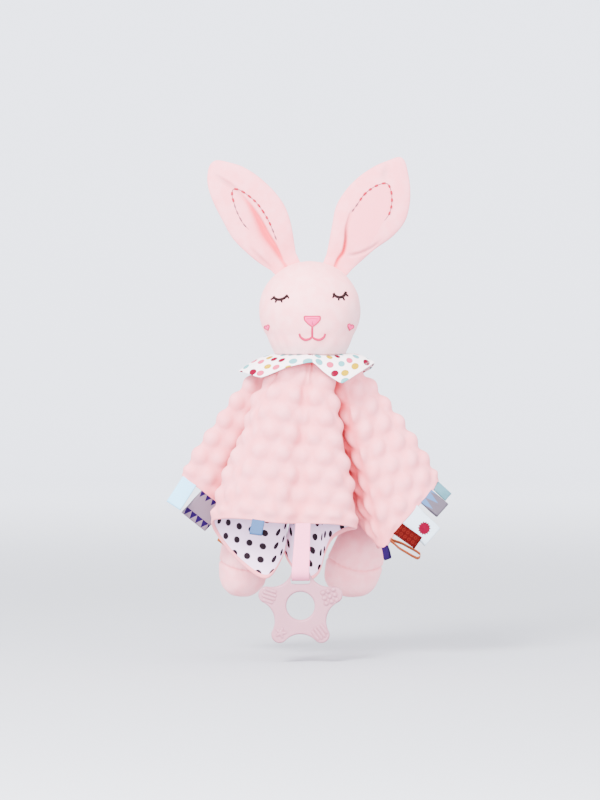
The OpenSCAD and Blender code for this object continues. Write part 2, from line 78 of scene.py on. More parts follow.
# The hem of the draped square, clockwise from the middle of the front edge as seen from
# above: angle on the flat cloth, x, y, z, and how far out the cloth runs at the shoulder.
HEM = np.array([
    (0, -9, -30, -143, 0.32), (9, -30, -37, -142, 0.36), (18, -55, -35, -139, 0.4),
    (25, -74, -25, -139, 0.4), (30, -84, -9, -143, 0.36), (34, -79, 5, -156, 0.26),
    (39, -61, 10, -178, 0.16), (45, -39, 8, -192, 0.1), (50, -26, 6, -178, 0.1),
    (55, -22, 9, -160, 0.1), (60, -34, 21, -152, 0.1), (67, -56, 25, -147, 0.16),
    (74, -73, 18, -133, 0.22), (82, -90, 12, -119, 0.26), (91, -109, 12, -105, 0.29),
    (100, -98, 31, -112, 0.26), (112, -84, 40, -124, 0.24), (124, -70, 36, -144, 0.2),
    (135, -62, 33, -158, 0.18), (145, -68, 50, -150, 0.24), (154, -62, 65, -142, 0.3),
    (166, -36, 74, -140, 0.32), (180, -8, 79, -138, 0.32), (194, 20, 76, -140, 0.32),
    (206, 46, 68, -142, 0.3), (215, 60, 54, -150, 0.24), (225, 58, 36, -168, 0.18),
    (236, 66, 37, -156, 0.2), (248, 80, 35, -138, 0.24), (260, 96, 28, -120, 0.26),
    (270, 108, 14, -109, 0.26), (277, 101, 3, -119, 0.26), (284, 87, -4, -133, 0.24),
    (291, 73, -8, -149, 0.24), (298, 62, -5, -165, 0.2), (303, 50, 6, -157, 0.15),
    (306, 38, 15, -143, 0.14), (308, 24, 22, -143, 0.12), (310, 6, 26, -148, 0.1),
    (312, -10, 27, -156, 0.1), (314.5, -22, 20, -168, 0.1), (318, -17, 11, -182, 0.1),
    (322, -3, 6, -193, 0.1), (326, 7, 5, -187, 0.12), (330, 12, 4, -171, 0.15),
    (334, 18, 0, -158, 0.19), (340, 28, -8, -151, 0.26), (346, 37, -18, -148, 0.34),
    (352, 24, -30, -144, 0.36), (356, 7, -32, -143, 0.34)], float)

# The collar's edge in the same order: angle, x, y, z
COLLAR = np.array([
    (0, 1, -37, -9), (22, -22, -38, -14), (48, -43, -36, -21), (70, -55, -22, -19),
    (88, -63, -6, -18), (112, -54, 16, -18), (136, -44, 34, -21), (180, 0, 42, -15),
    (224, 42, 34, -21), (248, 52, 16, -15), (272, 55, -4, -9), (292, 44, -24, -17),
    (314, 27, -41, -27), (340, 12, -39, -17)], float)


# ---------------------------------------------------------------- small helpers
def unit(v):
    """v with each vector brought to length 1."""
    return v / (np.linalg.norm(v, axis=-1, keepdims=True) + 1e-12)


def ramp(a, b, x):
    """Smoothstep from 0 at a to 1 at b."""
    t = np.clip((x - a) / (b - a), 0, 1)
    return t * t * (3 - 2 * t)


def closed_curve(points, t):
    """Catmull-Rom curve through a closed list at parameters t; the first column is an
    angle that gains 360 on every turn."""
    n = len(points)
    k = np.floor(t).astype(int)
    f = (t - k)[:, None]

    def at(i):
        p = points[i % n].copy()
        p[:, 0] += 360.0 * np.floor_divide(i, n)
        return p

    a, b, c, d = at(k - 1), at(k), at(k + 1), at(k + 2)
    return 0.5 * (2 * b + (c - a) * f + (2 * a - 5 * b + 4 * c - d) * f ** 2
                  + (3 * b - a - 3 * c + d) * f ** 3)


def straight_curve(points, t):
    """The same closed list joined by straight lines."""
    n = len(points)
    k = np.floor(t).astype(int)
    f = (t - k)[:, None]
    b, c = points[k % n].copy(), points[(k + 1) % n].copy()
    c[:, 0] += np.where(k % n == n - 1, 360.0, 0.0)
    return b + (c - b) * f


def bezier(a, b, c, d, s):
    """Cubic Bezier curve from a to d with handles b and c, at shares s."""
    return (1 - s) ** 3 * a + 3 * s * (1 - s) ** 2 * b + 3 * s ** 2 * (1 - s) * c + s ** 3 * d


def waves(p, size, seed, octaves=3):
    """Soft seeded unevenness of a field of points: a sum of sines along random directions."""
    r = np.random.default_rng(seed)
    out = np.zeros(p.shape[:-1])
    for o in range(octaves):
        k = r.normal(size=(5, 3))
        k = unit(k) * (2 * np.pi / (size / 1.8 ** o))
        ph = r.uniform(0, 2 * np.pi, 5)
        for i in range(5):
            out += np.sin(p @ k[i] + ph[i]) / (5 * 1.7 ** o)
    return out


def grid(name, P, mat, wrap_u=False, wrap_v=False, attrs=None, body=None,
         cap_first=False, cap_last=False, ref=None, inward=False):
    """Mesh object from an array of points P[i, j]; i and j close round where asked.
    attrs maps a name to an array of numbers or of 3-vectors, one per point. The faces are
    turned to look away from ref, which is the middle of the points unless given."""
    n, m = P.shape[:2]
    iu = np.arange(n if wrap_u else n - 1)
    jv = np.arange(m if wrap_v else m - 1)
    I, J = np.meshgrid(iu, jv, indexing="ij")
    quads = np.stack([I * m + J, I * m + (J + 1) % m, ((I + 1) % n) * m + (J + 1) % m,
                      ((I + 1) % n) * m + J], -1).reshape(-1, 4)
    flat = P.reshape(-1, 3)
    ref = flat.mean(0) if ref is None else np.asarray(ref, float)
    a, b, c, d = (flat[quads[:, k]] for k in range(4))
    facing = (np.cross(c - a, d - b) * ((a + b + c + d) / 4 - ref)).sum()
    turn = (facing < 0) != inward
    if turn:
        quads = quads[:, ::-1]
    caps = [(r, k) for r, k in ((0, cap_first), (n - 1, cap_last)) if k]
    verts = np.vstack([flat] + [P[r].mean(0)[None] for r, _ in caps]) / 1000.0
    faces = quads.tolist()
    for i, (row, _) in enumerate(caps):
        k = len(flat) + i
        for j in range(m):
            e, g = row * m + j, row * m + (j + 1) % m
            faces.append([k, g, e] if (row == 0) != turn else [k, e, g])
    me = bpy.data.meshes.new(name)
    me.from_pydata(verts.tolist(), [], faces)
    for key, val in (attrs or {}).items():
        val = np.asarray(val, float)
        wide = val.ndim == 3
        data = val.reshape(-1, 3) if wide else val.ravel()
        data = np.concatenate([data] + [data[:1]] * len(caps))
        kind, slot = ("FLOAT_VECTOR", "vector") if wide else ("FLOAT", "value")
        me.attributes.new(key, kind, "POINT").data.foreach_set(slot, data.ravel())
    me.polygons.foreach_set("use_smooth", np.ones(len(me.polygons), bool))
    me.validate()
    ob = bpy.data.objects.new(name, me)
    bpy.context.scene.collection.objects.link(ob)
    me.materials.append(mat)
    if body:
        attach(ob, body)
    return ob


def joined(name, obs, body):
    """Joins several meshes into one piece."""
    for o in bpy.context.view_layer.objects:
        o.select_set(False)
    for o in obs:
        o.select_set(True)
    bpy.context.view_layer.objects.active = obs[0]
    bpy.ops.object.join()
    obs[0].name = name
    obs[0].data.name = name
    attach(obs[0], body)
    return obs[0]


# ---------------------------------------------------------------- materials
def new_group(name, ins, outs):
    """Shader group with inputs (name, socket, value) and outputs (name, socket)."""
    g = bpy.data.node_groups.new(name, "ShaderNodeTree")
    for n, kind, val in ins:
        s = g.interface.new_socket(name=n, in_out="INPUT", socket_type=kind)
        if val is not None:
            s.default_value = val
    for n, kind in outs:
        g.interface.new_socket(name=n, in_out="OUTPUT", socket_type=kind)
    return g, g.nodes.new("NodeGroupInput"), g.nodes.new("NodeGroupOutput")


def math_node(t, op, a, b=None, clamp=False):
    """Math node; a and b are numbers or sockets."""
    n = t.nodes.new("ShaderNodeMath")
    n.operation = op
    n.use_clamp = clamp
    for i, v in enumerate((a, b)):
        if v is None:
            continue
        if isinstance(v, (int, float)):
            n.inputs[i].default_value = v
        else:
            t.links.new(v, n.inputs[i])
    return n.outputs[0]


def mix_colour(t, fac, a, b):
    """Colour mixed from a to b by fac; each is a socket, a number or a colour."""
    n = t.nodes.new("ShaderNodeMix")
    n.data_type = "RGBA"
    for sock, v in ((n.inputs[0], fac), (n.inputs[6], a), (n.inputs[7], b)):
        if isinstance(v, (int, float)):
            sock.default_value = v
        elif isinstance(v, tuple):
            sock.default_value = (*v, 1.0)
        else:
            t.links.new(v, sock)
    return n.outputs[2]


def remap(t, v, a, b, c=0.0, d=1.0):
    """Smooth step of v from c at a to d at b."""
    n = t.nodes.new("ShaderNodeMapRange")
    n.interpolation_type = "SMOOTHSTEP"
    t.links.new(v, n.inputs["Value"])
    n.inputs["From Min"].default_value = a
    n.inputs["From Max"].default_value = b
    n.inputs["To Min"].default_value = c
    n.inputs["To Max"].default_value = d
    return n.outputs["Result"]


def pile_group():
    """Short plush pile: fine tufts and broad brushed patches, from a position in metres."""
    g, i, o = new_group("plush_pile", [("Vector", "NodeSocketVector", None)],
                        [("Height", "NodeSocketFloat"), ("Shade", "NodeSocketFloat")])
    fine = g.nodes.new("ShaderNodeTexNoise")
    fine.inputs["Scale"].default_value = 1500
    fine.inputs["Detail"].default_value = 2
    broad = g.nodes.new("ShaderNodeTexNoise")
    broad.inputs["Scale"].default_value = 120
    broad.inputs["Detail"].default_value = 3
    for n in (fine, broad):
        g.links.new(i.outputs["Vector"], n.inputs["Vector"])
    h = math_node(g, "ADD", math_node(g, "MULTIPLY", fine.outputs["Fac"], 0.6),
                  math_node(g, "MULTIPLY", broad.outputs["Fac"], 0.7))
    g.links.new(h, o.inputs["Height"])
    g.links.new(remap(g, broad.outputs["Fac"], 0.3, 0.7), o.inputs["Shade"])
    return g


def weave_group():
    """Plain woven cloth: two sets of threads crossing, from flat coordinates in millimetres."""
    g, i, o = new_group("plain_weave", [("Vector", "NodeSocketVector", None),
                                        ("Thread", "NodeSocketFloat", 0.45)],
                        [("Height", "NodeSocketFloat")])
    s = g.nodes.new("ShaderNodeSeparateXYZ")
    g.links.new(i.outputs["Vector"], s.inputs[0])
    waves_out = []
    for k in (0, 1):
        a = math_node(g, "MULTIPLY", math_node(g, "DIVIDE", s.outputs[k], i.outputs["Thread"]), np.pi)
        waves_out.append(math_node(g, "ABSOLUTE", math_node(g, "SINE", a)))
    g.links.new(math_node(g, "MAXIMUM", *waves_out), o.inputs["Height"])
    return g


def dots_group():
    """Round printed dots on a square lattice turned 45 degrees; flat coordinates in mm."""
    g, i, o = new_group("dot_print", [("Vector", "NodeSocketVector", None),
                                      ("Pitch", "NodeSocketFloat", 11.3),
                                      ("Radius", "NodeSocketFloat", 2.75)],
                        [("Mask", "NodeSocketFloat")])
    s = g.nodes.new("ShaderNodeSeparateXYZ")
    g.links.new(i.outputs["Vector"], s.inputs[0])
    a = math_node(g, "MULTIPLY", math_node(g, "ADD", s.outputs[0], s.outputs[1]), 0.7071)
    b = math_node(g, "MULTIPLY", math_node(g, "SUBTRACT", s.outputs[0], s.outputs[1]), 0.7071)
    sq = []
    for c in (a, b):
        cell = math_node(g, "FRACT", math_node(g, "DIVIDE", c, i.outputs["Pitch"]))
        cell = math_node(g, "SUBTRACT", cell, 0.5)
        mm = math_node(g, "MULTIPLY", cell, i.outputs["Pitch"])
        sq.append(math_node(g, "MULTIPLY", mm, mm))
    d = math_node(g, "SQRT", math_node(g, "ADD", *sq))
    e = math_node(g, "SUBTRACT", i.outputs["Radius"], d)
    g.links.new(remap(g, e, -0.22, 0.22), o.inputs["Mask"])
    return g


def spots_group():
    """Coloured spots scattered on cotton, one colour per cell; flat coordinates in mm."""
    g, i, o = new_group("spot_print", [("Vector", "NodeSocketVector", None)],
                        [("Mask", "NodeSocketFloat"), ("Color", "NodeSocketColor")])
    v = g.nodes.new("ShaderNodeTexVoronoi")
    v.voronoi_dimensions = "2D"
    v.inputs["Scale"].default_value = 0.104
    v.inputs["Randomness"].default_value = 0.42
    g.links.new(i.outputs["Vector"], v.inputs["Vector"])
    sep = g.nodes.new("ShaderNodeSeparateColor")
    g.links.new(v.outputs["Color"], sep.inputs[0])
    r = g.nodes.new("ShaderNodeValToRGB")
    r.color_ramp.interpolation = "CONSTANT"
    cols = [(0.0, (0.13, 0.0005, 0.016)), (0.3, (0.40, 0.25, 0.0005)), (0.5, (0.10, 0.31, 0.33)),
            (0.70, (0.52, 0.05, 0.12)), (0.86, (0.13, 0.0005, 0.016))]
    el = r.color_ramp.elements
    while len(el) < len(cols):
        el.new(0.5)
    for e, (p, c) in zip(el, cols):
        e.position = p
        e.color = (*c, 1)
    g.links.new(sep.outputs[0], r.inputs[0])
    g.links.new(r.outputs[0], o.inputs["Color"])
    g.links.new(remap(g, v.outputs["Distance"], 0.345, 0.305), o.inputs["Mask"])
    return g


PILE_G, WEAVE_G, DOTS_G, SPOTS_G = pile_group(), weave_group(), dots_group(), spots_group()


def base(name, rough=0.9, sheen=0.0, tint=(1, 1, 1), coat=0.0, gloss=0.25):
    """New material with its even finish set on the shader: material, tree, shader."""
    m = bpy.data.materials.new(name)
    m.use_nodes = True
    t = m.node_tree
    p = t.nodes["Principled BSDF"]
    p.inputs["Roughness"].default_value = rough
    p.inputs["Sheen Weight"].default_value = sheen
    p.inputs["Sheen Roughness"].default_value = 0.45
    p.inputs["Sheen Tint"].default_value = (*tint, 1)
    p.inputs["Coat Weight"].default_value = coat
    p.inputs["Specular IOR Level"].default_value = gloss
    return m, t, p


def group_node(t, g, vec=None, **vals):
    """The group g placed in the tree t, fed with vec and set to vals."""
    n = t.nodes.new("ShaderNodeGroup")
    n.node_tree = g
    if vec is not None:
        t.links.new(vec, n.inputs["Vector"])
    for k, v in vals.items():
        n.inputs[k].default_value = v
    return n


def attr(t, name):
    """Reads one of the piece's own attributes."""
    n = t.nodes.new("ShaderNodeAttribute")
    n.attribute_name = name
    return n


def object_coords(t):
    """Position in metres; every piece's origin is the frame's."""
    return t.nodes.new("ShaderNodeTexCoord").outputs["Object"]


def bump(t, p, height, strength, dist):
    """Small relief from a height, in metres."""
    b = t.nodes.new("ShaderNodeBump")
    b.inputs["Strength"].default_value = strength
    b.inputs["Distance"].default_value = dist
    t.links.new(height, b.inputs["Height"])
    t.links.new(b.outputs[0], p.inputs["Normal"])


def plush(name, light, deep, panel=None, grey=None):
    """Smooth plush: light on the surface; deep is a deep rose painted shade where the cloth turns in on
    itself, grey a greyish painted shade on the shaded side, and panel the own colour of a sewn-in panel.
    """
    m, t, p = base(name, 0.95, 0.12, (1.0, 0.8, 0.82))
    pile = group_node(t, PILE_G, object_coords(t))
    c = mix_colour(t, math_node(t, "MULTIPLY", pile.outputs["Shade"], 0.8), light,
                   tuple(v * k for v, k in zip(light, (0.99, 0.78, 0.8))))
    if panel:
        c = mix_colour(t, attr(t, "panel").outputs["Fac"], c, panel)
    # Painted shade: deep rose mixed in where the cloth turns in on itself.
    c = mix_colour(t, attr(t, "painted_shade").outputs["Fac"], c, deep)
    # Painted shade: grey mixed in on the shaded side.
    if grey:
        c = mix_colour(t, attr(t, "grey").outputs["Fac"], c, grey)
    t.links.new(c, p.inputs["Base Color"])
    bump(t, p, pile.outputs["Height"], 0.35, 0.0006)
    return m


# Painted shade: the second colour of each plush below is the deep rose painted into folds, and each grey
# colour is painted grey shade; panel is the ear panel's own pinker cloth.
SHADE_ROSE = (0.74, 0.07, 0.10)
head_mat = plush("head_plush", (0.95, 0.42, 0.45), SHADE_ROSE, grey=(0.52, 0.38, 0.39))
ear_mat = plush("ear_plush", (0.86, 0.30, 0.345), (0.72, 0.06, 0.10),
                panel=(0.84, 0.22, 0.27), grey=(0.42, 0.20, 0.22))
blanket_mat = plush("bumpy_plush", (0.88, 0.31, 0.355), (0.58, 0.028, 0.048))
leg_mat = plush("leg_plush", (0.95, 0.40, 0.45), SHADE_ROSE)


def thread(name, colour, fibre=0.5):
    """Embroidery thread: fine satin lines along each stitch."""
    m, t, p = base(name, 0.6, gloss=0.1)
    n = t.nodes.new("ShaderNodeTexWave")
    n.inputs["Scale"].default_value = 900
    n.inputs["Distortion"].default_value = 2.0
    t.links.new(object_coords(t), n.inputs["Vector"])
    c = mix_colour(t, math_node(t, "MULTIPLY", n.outputs["Fac"], fibre), colour,
                   tuple(v * 0.6 for v in colour))
    t.links.new(c, p.inputs["Base Color"])
    bump(t, p, n.outputs["Fac"], 0.4, 0.0002)
    return m


dark_thread = thread("dark_thread", (0.012, 0.003, 0.004))
grey_thread = thread("grey_thread", (0.16, 0.07, 0.09), 0.3)
nose_thread = thread("nose_thread", (0.85, 0.045, 0.22), 0.25)
rose_thread = thread("rose_thread", (0.46, 0.012, 0.075), 0.3)
crimson_thread = thread("crimson_thread", (0.36, 0.004, 0.03), 0.3)


def lining_material():
    """White cotton with a lattice of dark dots, woven finely, with a plum painted shade where it is shut
    in.
    """
    m, t, p = base("dotted_cotton", 0.9, gloss=0.05)
    flat = attr(t, "cloth").outputs["Vector"]
    mask = group_node(t, DOTS_G, flat).outputs["Mask"]
    weave = group_node(t, WEAVE_G, flat)
    c = mix_colour(t, mask, (0.82, 0.60, 0.80), (0.016, 0.009, 0.013))
    # Painted shade: dark plum mixed in where the lining is shut in.
    painted_shade = math_node(t, "MULTIPLY", attr(t, "painted_shade").outputs["Fac"], 0.6)
    c = mix_colour(t, painted_shade, c, (0.30, 0.13, 0.20))
    c = mix_colour(t, math_node(t, "MULTIPLY", mask, 0.6), c, (0.016, 0.009, 0.013))
    t.links.new(c, p.inputs["Base Color"])
    bump(t, p, weave.outputs["Height"], 0.3, 0.0002)
    return m


def collar_material():
    """White cotton printed with spots of several colours, hemmed near its edge."""
    m, t, p = base("spotted_cotton", 0.9, gloss=0.01)
    flat = attr(t, "cloth").outputs["Vector"]
    spots = group_node(t, SPOTS_G, flat)
    weave = group_node(t, WEAVE_G, flat)
    c = mix_colour(t, spots.outputs["Mask"], (0.88, 0.78, 0.81), spots.outputs["Color"])
    stitch = attr(t, "stitch").outputs["Fac"]
    c = mix_colour(t, math_node(t, "MULTIPLY", stitch, 0.35), c, (0.50, 0.40, 0.43))
    t.links.new(c, p.inputs["Base Color"])
    h = math_node(t, "SUBTRACT", math_node(t, "MULTIPLY", weave.outputs["Height"], 0.3), stitch)
    bump(t, p, h, 0.5, 0.0004)
    return m


lining_mat = lining_material()
collar_mat = collar_material()


def ribbon_material(name, colour, figure=None, shine=0.45):
    """Satin ribbon: fine cross ribs and firmer selvedges. The attribute "cloth" holds
    millimetres across (x, from the middle) and along (y); figure builds a mask from them."""
    m, t, p = base(name, shine, gloss=0.02)
    s = t.nodes.new("ShaderNodeSeparateXYZ")
    flat = attr(t, "cloth").outputs["Vector"]
    t.links.new(flat, s.inputs[0])
    weave = group_node(t, WEAVE_G, flat, Thread=0.5)
    c = colour
    if figure:
        for mask, col in figure(t, s.outputs[0], s.outputs[1]):
            c = mix_colour(t, mask, c, col)
    edge = remap(t, s.outputs[2], 0.9, 0.2)
    c = mix_colour(t, math_node(t, "MULTIPLY", edge, 0.3), c, tuple(v * 0.75 for v in colour))
    t.links.new(c, p.inputs["Base Color"])
    bump(t, p, weave.outputs["Height"], 0.35, 0.00025)
    return m


def triangles(colour, width, tall, step):
    """A row of triangles standing on the sewn end of the ribbon."""
    def build(t, x, y):
        tri = math_node(t, "ABSOLUTE", math_node(t, "SUBTRACT",
              math_node(t, "FRACT", math_node(t, "ADD", math_node(t, "DIVIDE", x, width), 0.25)), 0.5))
        row = math_node(t, "MULTIPLY", math_node(t, "FRACT", math_node(t, "DIVIDE", y, step)), step)
        lim = math_node(t, "SUBTRACT", 1.0, math_node(t, "MULTIPLY", tri, 2.0))
        lim = math_node(t, "MULTIPLY", lim, tall)
        inside = remap(t, math_node(t, "SUBTRACT", lim, row), -0.3, 0.3)
        return [(inside, colour)]
    return build


def scalloped_disc(colour, cx, cy, r, lobes):
    """One disc with a scalloped rim."""
    def build(t, x, y):
        dx, dy = math_node(t, "SUBTRACT", x, cx), math_node(t, "SUBTRACT", y, cy)
        d = math_node(t, "SQRT", math_node(t, "ADD", math_node(t, "MULTIPLY", dx, dx),
                                           math_node(t, "MULTIPLY", dy, dy)))
        a = math_node(t, "MULTIPLY", math_node(t, "ARCTAN2", dy, dx), float(lobes))
        rim = math_node(t, "ADD", math_node(t, "MULTIPLY", math_node(t, "COSINE", a), 0.09 * r), r)
        ring = remap(t, math_node(t, "SUBTRACT", rim, d), -0.2, 0.2)
        return [(ring, colour)]
    return build


def ringed_dots(colour, pitch):
    """Small rings in rows."""
    def build(t, x, y):
        sq = []
        for c in (x, y):
            cell = math_node(t, "FRACT", math_node(t, "DIVIDE", c, pitch))
            v = math_node(t, "MULTIPLY", math_node(t, "SUBTRACT", cell, 0.5), pitch)
            sq.append(math_node(t, "MULTIPLY", v, v))
        d = math_node(t, "SQRT", math_node(t, "ADD", *sq))
        ring = remap(t, math_node(t, "ABSOLUTE", math_node(t, "SUBTRACT", d, pitch * 0.27)), 0.5, 0.25)
        return [(ring, colour)]
    return build


def through(points, x):
    """Smooth curve y(x) through a short list of (x, y) points, by cubic Hermite pieces."""
    p = np.asarray(points, float)
    X, Y = p[:, 0], p[:, 1]
    slope = np.gradient(Y, X)
    x = np.clip(x, X[0], X[-1])
    k = np.clip(np.searchsorted(X, x, side="right") - 1, 0, len(X) - 2)
    h = X[k + 1] - X[k]
    t = (x - X[k]) / h
    return ((2 * t ** 3 - 3 * t ** 2 + 1) * Y[k] + (t ** 3 - 2 * t ** 2 + t) * h * slope[k]
            + (3 * t ** 2 - 2 * t ** 3) * Y[k + 1] + (t ** 3 - t ** 2) * h * slope[k + 1])


def path(points, step=0.5):
    """Points every step mm along a smooth curve through a short list of places."""
    p = np.asarray(points, float)
    q = np.vstack([2 * p[0] - p[1], p, 2 * p[-1] - p[-2]])
    out = []
    for i in range(1, len(q) - 2):
        t = np.linspace(0, 1, 30, endpoint=i == len(q) - 3)[:, None]
        a, b, c, d = q[i - 1:i + 3]
        out.append(0.5 * (2 * b + (c - a) * t + (2 * a - 5 * b + 4 * c - d) * t ** 2
                          + (3 * b - a - 3 * c + d) * t ** 3))
    out = np.vstack(out)
    s = np.concatenate([[0], np.cumsum(np.linalg.norm(np.diff(out, axis=0), axis=1))])
    at = np.linspace(0, s[-1], max(4, int(s[-1] / step)))
    return np.stack([np.interp(at, s, out[:, k]) for k in range(out.shape[1])], -1)


# ---------------------------------------------------------------- head and face
def head_width(z):
    """Half width of the head at height z as a share of its widest: an ellipse down to the
    jaw at 14.4 mm, then the gathered cloth falls almost straight into the collar."""
    u = np.clip((z - HEAD_Z) / HEAD_TALL, -1, 1)
    jaw = 0.860 - 0.0100 * (14.4 - z)
    return np.where(z < 14.4, jaw, np.sqrt(1 - u ** 2))


def face_point(x, z, lift=0.0):
    """Point on the front of the head at x, z, lifted along the surface's outward normal."""
    w = head_width(z)
    y = -HEAD_DEEP * np.sqrt(np.clip(w ** 2 - ((x - HEAD_X) / HEAD_WIDE) ** 2, 0, None))
    n = unit(np.stack([(x - HEAD_X) / HEAD_WIDE ** 2, y / HEAD_DEEP ** 2,
                       (z - HEAD_Z) / HEAD_TALL ** 2], -1))
    dimple = sum(deep * np.exp(-((x - cx) ** 2 + (z - cz) ** 2) / r ** 2) for cx, cz, r, deep in DIMPLES)
    return np.stack([x, y, z], -1) + n * (np.asarray(lift) - dimple)[..., None]


def make_head():
    """Rings of half width head_width(z) from the crown to the jaw, then a shallow cup that
    closes under it; soft unevenness from the filling, and a dimple at each feature."""
    a = np.linspace(0.012, np.pi / 2 + 0.53, 110)
    z = np.concatenate([HEAD_Z + HEAD_TALL * np.cos(a), np.linspace(14.0, -0.8, 22)])
    w = head_width(z)
    k = np.array([0.99, 0.965, 0.92, 0.85, 0.7, 0.5, 0.1])
    w = np.concatenate([w, w[-1] * k])[:, None]
    z = np.concatenate([z, -0.8 - np.array([0.6, 1.1, 1.5, 1.8, 2.0, 2.1, 2.2])])[:, None]
    b = np.linspace(0, 2 * np.pi, 200, endpoint=False)[None]
    P = np.stack([HEAD_X + HEAD_WIDE * w * np.cos(b), HEAD_DEEP * w * np.sin(b), z + 0 * b], -1)
    n = unit((P - [HEAD_X, 0, HEAD_Z]) / [HEAD_WIDE ** 2, HEAD_DEEP ** 2, HEAD_TALL ** 2])
    d = 0.4 * waves(P, 34, 3) * ramp(3, 16, z)
    d = d + 0.35 * np.sin(b * 17 + 2 * np.sin(3 * b)) * ramp(20, 6, z) * ramp(1, 4, z)
    front = P[..., 1] < 0
    off = [np.hypot(P[..., 0] - cx, P[..., 2] - cz) - r * 0.6 + 100 * ~front
           for cx, cz, r, _ in DIMPLES]
    d = d * ramp(0, 6, np.min(off, axis=0))
    for cx, cz, r, deep in DIMPLES:
        d -= deep * front * np.exp(-((P[..., 0] - cx) ** 2 + (P[..., 2] - cz) ** 2) / r ** 2)
    P = P + n * d[..., None]
    # Painted shade: deep rose under the jaw and a little towards +x, and grey painted shade on the +x side
    # and under the chin.
    painted_shade = 0.12 * ramp(14, 0, P[..., 2]) + 0.04 * ramp(10, 40, P[..., 0])
    grey = 0.55 * ramp(16, 42, P[..., 0]) * ramp(60, 30, P[..., 2]) + 0.6 * ramp(12, 0, P[..., 2])
    return grid("head", P, head_mat, wrap_v=True, cap_first=True, cap_last=True,
                attrs={"painted_shade": painted_shade, "grey": np.clip(grey, 0, 0.8)}, body="head")


def ridge(name, pts, width, high, mat, taper=0.35, ends=True):
    """Satin-stitched line on the face: a half-round ridge along the places pts (x, z),
    high in its middle, narrowing towards its ends."""
    pts = np.asarray(pts, float)
    n = len(pts)
    t = unit(np.gradient(pts, axis=0))
    side = np.stack([-t[:, 1], t[:, 0]], -1)
    k = np.linspace(-1, 1, 9)
    u = np.linspace(0, 1, n)
    w = width / 2 * (1 - taper * np.abs(2 * u - 1) ** 3) if ends else np.full(n, width / 2)
    xz = pts[:, None] + side[:, None] * (w[:, None] * k[None])[..., None]
    lift = high * np.sqrt(np.clip(1 - k ** 2, 0, 1))[None] * np.ones((n, 1)) - 0.12
    if ends:
        lift[0] = lift[-1] = -0.12
    return grid(name, face_point(xz[..., 0], xz[..., 1], lift), mat, ref=(0, 0, HEAD_Z))


def make_eye(name, lid, lashes):
    """Closed eyelid: a stitched arc through the places lid, with four lashes."""
    parts = [ridge(name, path(lid, 0.4), 2.7, 0.95, dark_thread, taper=0.1)]
    for x0, z0, x1, z1 in lashes:
        parts.append(ridge("lash", path([(x0, z0), (x1, z1)], 0.3), 1.8, 0.8, dark_thread, taper=0.5))
    return joined(name, parts, "head")


def patch(name, outline, centre, high, mat, rings=8):
    """Filled satin patch: the outline shrunk in rings towards its centre and domed."""
    outline, centre = np.asarray(outline, float), np.asarray(centre, float)
    k = np.linspace(1, 0.02, rings)[:, None, None]
    xz = centre + (outline - centre)[None] * k
    lift = high * np.sqrt(1 - np.linspace(1, 0.02, rings) ** 3)[:, None] * np.ones((1, len(outline))) - 0.12
    return grid(name, face_point(xz[..., 0], xz[..., 1], lift), mat, wrap_v=True, cap_last=True,
                ref=(0, 0, HEAD_Z))


def rounded(points, r, n=6):
    """A closed outline with each corner rounded by a quadratic curve cut r before it."""
    pts, out = np.asarray(points, float), []
    for i, p in enumerate(pts):
        a = p + unit(pts[i - 1] - p) * r
        b = p + unit(pts[(i + 1) % len(pts)] - p) * r
        for t in np.linspace(0, 1, n):
            out.append((1 - t) ** 2 * a + 2 * t * (1 - t) * p + t * t * b)
    return np.array(out)


